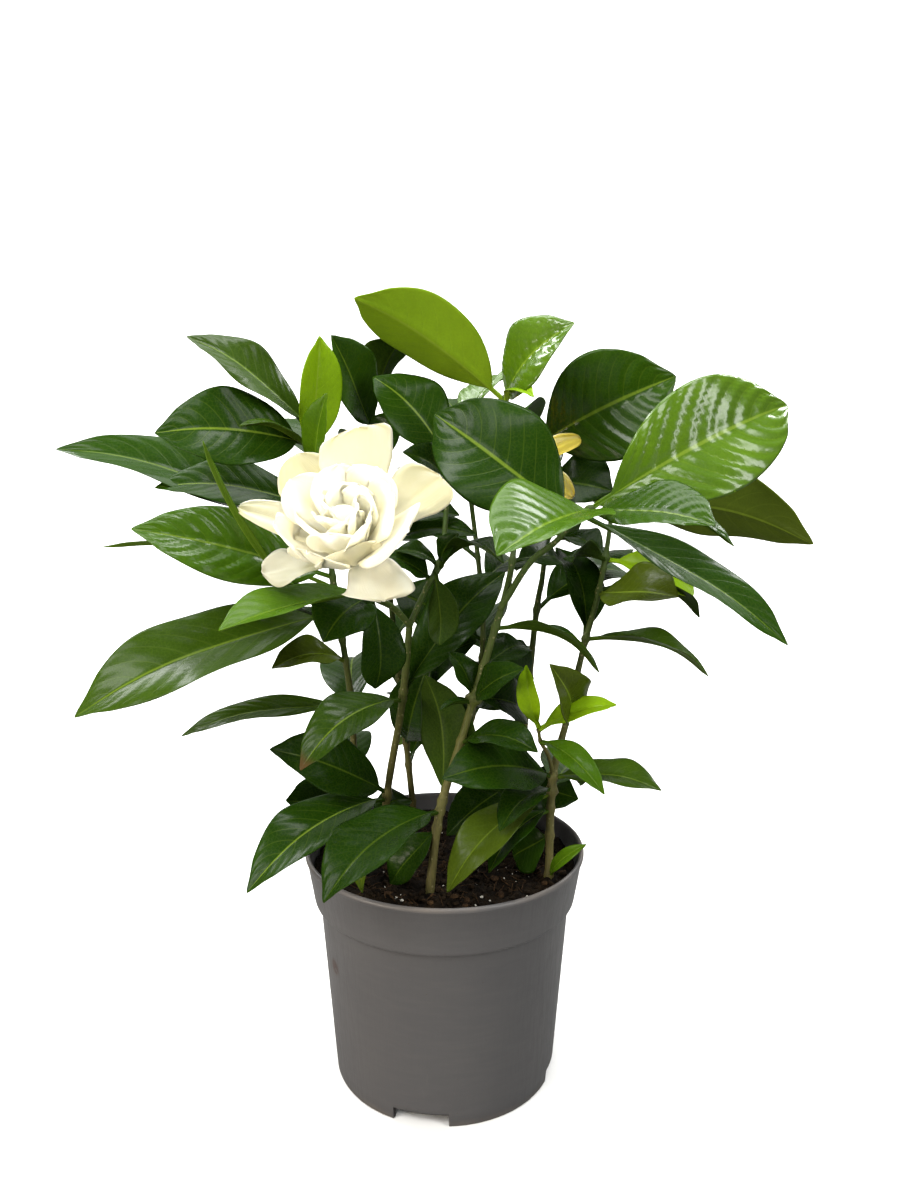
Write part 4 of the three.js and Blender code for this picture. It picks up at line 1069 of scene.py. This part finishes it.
def pot_wall():
    """The pot turned about its axis from one profile, with more sectors at the notches. The
    foot ring's lower edge is lifted to the notch height between each notch's two sides."""
    band = POT_HEIGHT - RIM_BAND
    floor_top = FLOOR_UNDERSIDE + WALL
    inner = lambda height: body_radius(height) - WALL
    foot, wall, body_top = FOOT_RADIUS, WALL, BODY_TOP_RADIUS
    rim, rim_foot, top, floor = RIM_RADIUS, RIM_BOTTOM_RADIUS, POT_HEIGHT, FLOOR_UNDERSIDE
    corners = np.array([
        [0, floor_top], [inner(floor_top) - 1.6, floor_top],
        [inner(floor_top) - 0.5, floor_top + 0.4], [inner(floor_top + 1.4), floor_top + 1.4],
        [inner(band - 1.2), band - 1.2], [body_top - wall + 0.4, band + 0.6],
        [rim_foot - wall - 0.5, band + 2.2], [rim_foot - wall + 0.1, band + 3.4],
        [rim - 2.3, top - 2.4], [rim - 2.1, top - 1.0], [rim - 1.75, top - 0.35],
        [rim - 1.25, top], [rim - 0.75, top - 0.05], [rim - 0.2, top - 0.45], [rim, top - 1.1],
        [rim, top - 1.9], [rim - 0.3, top - 2.5], [rim - 0.75, top - 3.0],
        [rim_foot + 0.25, band + 2.6], [rim_foot, band + 1.5], [rim_foot - 0.35, band + 0.9],
        [rim_foot - 1.1, band + 0.55], [body_top + 0.25, band + 0.2],
        [body_top - 0.1, band - 0.6], [body_radius(7.4), 7.4], [body_radius(6.2), 6.2],
        [body_radius(0.9), 0.9], [foot - 0.2, 0.25], [foot - 0.55, 0], [foot - wall, 0],
        [foot - wall - 0.35, 0.35], [foot - wall - 0.1, floor - 0.5], [foot - wall - 0.8, floor],
        [0, floor],
    ])
    notched = (corners[1:-1, 1] < FOOT_NOTCH["height"]) & (corners[1:-1, 0] > 40)
    reach = math.degrees(FOOT_NOTCH["width"] / 2 / FOOT_RADIUS)
    middles = FOOT_NOTCH["first_angle"] + 360 * np.arange(FOOT_NOTCH["count"]) / FOOT_NOTCH["count"]
    edges = (middles[:, None] + np.array([-reach - 0.25, -reach, reach, reach + 0.25])).ravel()
    angles = np.sort(np.concatenate([np.arange(POT_SECTORS) * 360 / POT_SECTORS, edges % 360]))
    off = np.abs((angles[:, None] - middles + 180) % 360 - 180).min(axis=1)
    lift = 1 - np.clip((off - reach) / 0.25, 0, 1)
    rings = corners[1:-1]
    turn = np.radians(angles)[:, None]
    height = np.broadcast_to(rings[:, 1], (len(angles), len(rings)))
    raised = np.maximum(height, FOOT_NOTCH["height"] - 0.001 * np.arange(len(rings)))
    height = np.where(notched, height + (raised - height) * lift[:, None], height)
    points = np.stack([rings[:, 0] * np.cos(turn), rings[:, 0] * np.sin(turn), height], -1)
    ends = [[0, 0, corners[0, 1]], [0, 0, corners[-1, 1]]]
    return (np.vstack([np.swapaxes(points, 0, 1).reshape(-1, 3), ends]),
            *ring_faces(len(rings), len(angles), inward=True))


def drained(pot):
    """Cuts the round drain holes through the floor panel."""
    bars = []
    for spot in circle(DRAIN_HOLE["count"]) + math.pi / DRAIN_HOLE["count"]:
        x, y = DRAIN_HOLE["ring"] * math.cos(spot), DRAIN_HOLE["ring"] * math.sin(spot)
        path = np.array([[x, y, z] for z in (2.0, 5.0, 9.0, 12.0)])
        bars.append(tube(path, np.full(4, DRAIN_HOLE["radius"]), DRAIN_HOLE["sides"]))
    cutter = new_piece("drain_cutter", *gathered(bars), [PLASTIC])
    cut = pot.modifiers.new("drain holes", "BOOLEAN")
    cut.operation = "DIFFERENCE"
    cut.solver = "EXACT"
    cut.object = cutter
    bpy.context.view_layer.update()
    done = bpy.data.meshes.new_from_object(
        pot.evaluated_get(bpy.context.evaluated_depsgraph_get()))
    pot.modifiers.remove(cut)
    pot.data = done
    bpy.data.objects.remove(cutter)
    return pot


# Potting mix

def mix_height(x, y):
    """Level of the mix: a mound at the front, broad swells, crumbs and fine grit."""
    swells = 0.9 * np.sin(x / 5.5 + 1) * np.cos(y / 6.5) + 0.6 * np.sin((x + y) / 4)
    mound = 2.5 * np.exp(-((x + 8) ** 2 + (y + 44) ** 2) / 700)
    grit = 0.9 * value_noise(x, y, 3.1, 4) + 0.6 * value_noise(x, y, 1.5, 9) \
        + 0.35 * value_noise(x, y, 0.8, 15)
    return SOIL_LEVEL + swells + mound + grit


def mix_bed():
    """The body of mix: rings of points from the middle to the edge at mix_height, then down
    inside the pot's wall and across its floor, closed at both poles."""
    clear = WALL + SEAT_GAP + 0.3
    band = POT_HEIGHT - RIM_BAND
    floor_top = FLOOR_UNDERSIDE + WALL
    radii = np.linspace(0, SOIL_EDGE, MIX_GRID[0])[1:]
    turn = circle(MIX_GRID[1])
    x, y = radii[:, None] * np.cos(turn), radii[:, None] * np.sin(turn)
    top = np.stack([x, y, mix_height(x, y)], -1)
    wall = np.array([
        [RIM_BOTTOM_RADIUS - clear, band + 3], [BODY_TOP_RADIUS - clear, band - 1],
        [body_radius(floor_top) - clear - 1.6, floor_top + SEAT_GAP],
    ])
    sides = np.stack([wall[:, :1] * np.cos(turn), wall[:, :1] * np.sin(turn),
                      np.broadcast_to(wall[:, 1:], (3, MIX_GRID[1]))], -1)
    rings = np.concatenate([top, sides])
    ends = [[0, 0, float(mix_height(0.0, 0.0))], [0, 0, floor_top + SEAT_GAP]]
    return (np.vstack([rings.reshape(-1, 3), ends]),
            *ring_faces(len(rings), MIX_GRID[1], inward=True))


def lumps(count, low, high, flat, dice, front=0.0):
    """Scattered angular lumps on the mix: twelve corners of an icosahedron, each pushed in
    or out by its own amount, squashed by flat and turned at random about the upright."""
    golden = (1 + 5 ** 0.5) / 2
    ball = unit(np.array([
        [-1, golden, 0], [1, golden, 0], [-1, -golden, 0], [1, -golden, 0],
        [0, -1, golden], [0, 1, golden], [0, -1, -golden], [0, 1, -golden],
        [golden, 0, -1], [golden, 0, 1], [-golden, 0, -1], [-golden, 0, 1]], float))
    faces = np.array([
        [0, 11, 5], [0, 5, 1], [0, 1, 7], [0, 7, 10], [0, 10, 11], [1, 5, 9], [5, 11, 4],
        [11, 10, 2], [10, 7, 6], [7, 1, 8], [3, 9, 4], [3, 4, 2], [3, 2, 6], [3, 6, 8],
        [3, 8, 9], [4, 9, 5], [2, 4, 11], [6, 2, 10], [8, 6, 7], [9, 8, 1]])
    size = dice.uniform(low, high, (count, 1, 1)) / 2
    knobs = ball[None] * dice.uniform(0.72, 1.15, (count, 12, 1))
    knobs = knobs * np.concatenate([dice.uniform(0.8, 1.5, (count, 1, 2)),
                                    dice.uniform(flat, 1.0, (count, 1, 1))], -1) * size
    knobs = about(knobs, UP, dice.uniform(0, 2 * np.pi, (count, 1, 1)))
    radius = (SOIL_EDGE - 3) * np.sqrt(dice.uniform(0, 1, count))
    spot = dice.uniform(0, 2 * np.pi, count)
    x, y = radius * np.cos(spot), radius * np.sin(spot)
    y = np.where(dice.uniform(0, 1, count) < front, -np.abs(y), y)
    z = mix_height(x, y) + size[:, 0, 0] * 0.35
    points = knobs + np.stack([x, y, z], -1)[:, None]
    start = (np.arange(count) * 12)[:, None, None]
    return points.reshape(-1, 3), [], (faces[None] + start).reshape(-1, 3)


def fibres(count, dice):
    """Short bent threads lying in the mix: each a thin five-sided tube along an arc."""
    threads = []
    for _ in range(count):
        length = dice.uniform(3, 11)
        radius = (SOIL_EDGE - 8) * math.sqrt(dice.uniform(0, 1))
        spot, way = dice.uniform(0, 2 * math.pi, 2)
        share = np.linspace(-0.5, 0.5, FIBRE_GRID[0])
        bow = dice.uniform(-0.3, 0.3) * length
        bowed, run = bow * share ** 2, share * length
        x = radius * math.cos(spot) + run * math.cos(way) - bowed * math.sin(way)
        y = radius * math.sin(spot) + run * math.sin(way) + bowed * math.cos(way)
        z = mix_height(x, y) + dice.uniform(0.1, 0.7) + dice.uniform(0, 1.6) * (share + 0.5) ** 2
        radii = np.full(FIBRE_GRID[0], dice.uniform(0.14, 0.32))
        threads.append(tube(np.stack([x, y, z], -1), radii, FIBRE_GRID[1]))
    return gathered(threads)


# The dressed plant

def finished_piece(piece, node):
    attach(piece, "root")
    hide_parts(node)


for letter in "ABCDEFG":
    for part in leafy_stem(letter):
        finished_piece(part, f"stem_{letter.lower()}")

for name, kind, finish, slot, seed in (
        ("bloom_white", "white", IVORY, "petal_white", 3),
        ("bloom_faded", "faded", FADED, "petal_faded", 8)):
    for part in bloom(name, FLOWERS[kind], finish, seed):
        finished_piece(part, name)
finished_piece(calyx("calyx_white", FLOWERS["white"]), "stem_a")
finished_piece(calyx("calyx_faded", FLOWERS["faded"]), "stem_b")

finished_piece(drained(new_piece("nursery_pot", *pot_wall(), [PLASTIC])), "pot")

grit = np.random.RandomState(GRIT_SEED)
for name, shape, finish in (
        ("mix_bed", mix_bed(), MIX_WITH_PAINTED_SHADE),
        ("mix_crumbs", lumps(CRUMBS, 1.0, 3.4, 0.6, grit), CRUMB_WITH_PAINTED_SHADE),
        ("mix_perlite", lumps(PERLITE, 0.5, 1.5, 0.7, grit, 0.5), GRAIN),
        ("mix_chips", lumps(CHIPS, 2.2, 5.0, 0.25, grit, 0.6), CHIP),
        ("mix_fibres", fibres(FIBRES, grit), CHIP)):
    part = new_piece(name, *shape, [finish])
    part.data.polygons.foreach_set(
        "use_smooth", np.full(len(part.data.polygons), name in ("mix_bed", "mix_fibres")))
    finished_piece(part, "soil")


# Studio

def studio_floor():
    """A floor that curves up into a backdrop: flat, a quarter round, then upright.
    Camera rays see it pale; every other ray sees it painted dark grey, painted shade that
    cuts its reflection and bounce light on the plant.
    """
    bend = 0.7
    angle = np.linspace(0, np.pi / 2, 24)
    line = np.vstack([
        [[-3.0, 0.0]], np.stack([1.3 + bend * np.sin(angle), bend * (1 - np.cos(angle))], -1),
        [[2.0, 3.2]]]) / MM
    x = np.array([-4.0, 4.0]) / MM
    points = np.stack(np.broadcast_arrays(x[:, None], *line.T), -1)
    j = np.arange(len(line) - 1)
    quads = np.stack([j, len(line) + j, len(line) + j + 1, j + 1], -1)
    finish, tree, shader = new_finish("studio paper", Roughness=0.9)
    # Painted shade: only camera rays see the pale paper, and all other rays see dark grey, so the
    # floor gives the plant less reflection and bounce light.
    camera_sees_pale = put(tree, "ShaderNodeLightPath")["Is Camera Ray"]
    pale = tint(noise(place_on(tree), 3.0), (0.80, 0.80, 0.79), (0.84, 0.84, 0.83))
    feed(shader, Base_Color=tint(camera_sees_pale, (0.17, 0.17, 0.165), pale))
    return new_piece("studio_floor", points, quads, [], [finish])


def softbox(name, place, width, height, watts, warmth, aim=PLANT_MIDDLE):
    """A rectangular lamp of the given width and height in m, turned toward its aim."""
    light = bpy.data.lights.new(name, "AREA")
    light.shape = "RECTANGLE"
    light.size, light.size_y = width, height
    light.energy = watts
    light.color = warmth
    lamp = bpy.data.objects.new(name, light)
    lamp.location = place
    lamp.rotation_euler = (Vector(aim) - Vector(place)).to_track_quat("-Z", "Y").to_euler()
    bpy.context.scene.collection.objects.link(lamp)


studio_floor()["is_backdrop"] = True
for lamp in (
        ("key", (-0.70, -0.62, 1.05), 0.40, 0.40, 10.0, (1.0, 0.985, 0.95)),
        ("window", (0.75, -0.75, 0.85), 0.24, 1.10, 9.0, (1.0, 0.99, 0.96)),
        ("low window", (0.90, -0.62, 0.36), 0.18, 0.50, 3.0, (1.0, 1.0, 0.98)),
        ("bounce", (-0.75, -0.60, 0.16), 0.45, 0.25, 8.0, (1.0, 0.89, 0.77)),
        ("front", (-0.22, -1.00, 1.05), 0.50, 0.40, 6.5, (1.0, 0.99, 0.96)),
        ("skylight", (0.05, -0.10, 1.40), 0.45, 0.35, 10.5, (1.0, 1.0, 0.98)),
        ("overhead", (0.0, 0.70, 1.60), 1.40, 1.20, 26.0, WHITE, (0.0, 0.60, 0.0)),
        ("backdrop left", (-1.2, 0.9, 1.5), 0.8, 0.8, 55.0, WHITE, (-0.5, 2.0, 0.4)),
        ("backdrop right", (1.2, 0.9, 1.5), 0.8, 0.8, 55.0, WHITE, (0.5, 2.0, 0.4))):
    softbox(*lamp)

world = bpy.data.worlds.new("studio air")
bpy.context.scene.world = world
world.use_nodes = True
air = world.node_tree.nodes["Background"].inputs
air["Color"].default_value = AIR_COLOUR
air["Strength"].default_value = AIR_STRENGTH
bpy.context.scene.view_settings.view_transform = "Standard"

view = bpy.data.cameras.new("photo view")
view.sensor_width = SENSOR_WIDTH
view.lens = LENS
camera = bpy.data.objects.new("photo view", view)
camera.location = CAMERA_PLACE
camera.rotation_euler = [math.radians(angle) for angle in CAMERA_DEGREES]
bpy.context.scene.collection.objects.link(camera)
bpy.context.scene.camera = camera

({name: [list(corner) for corner in box]
           for name, box in (("cad", CAD_BOX), ("visual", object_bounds()))})
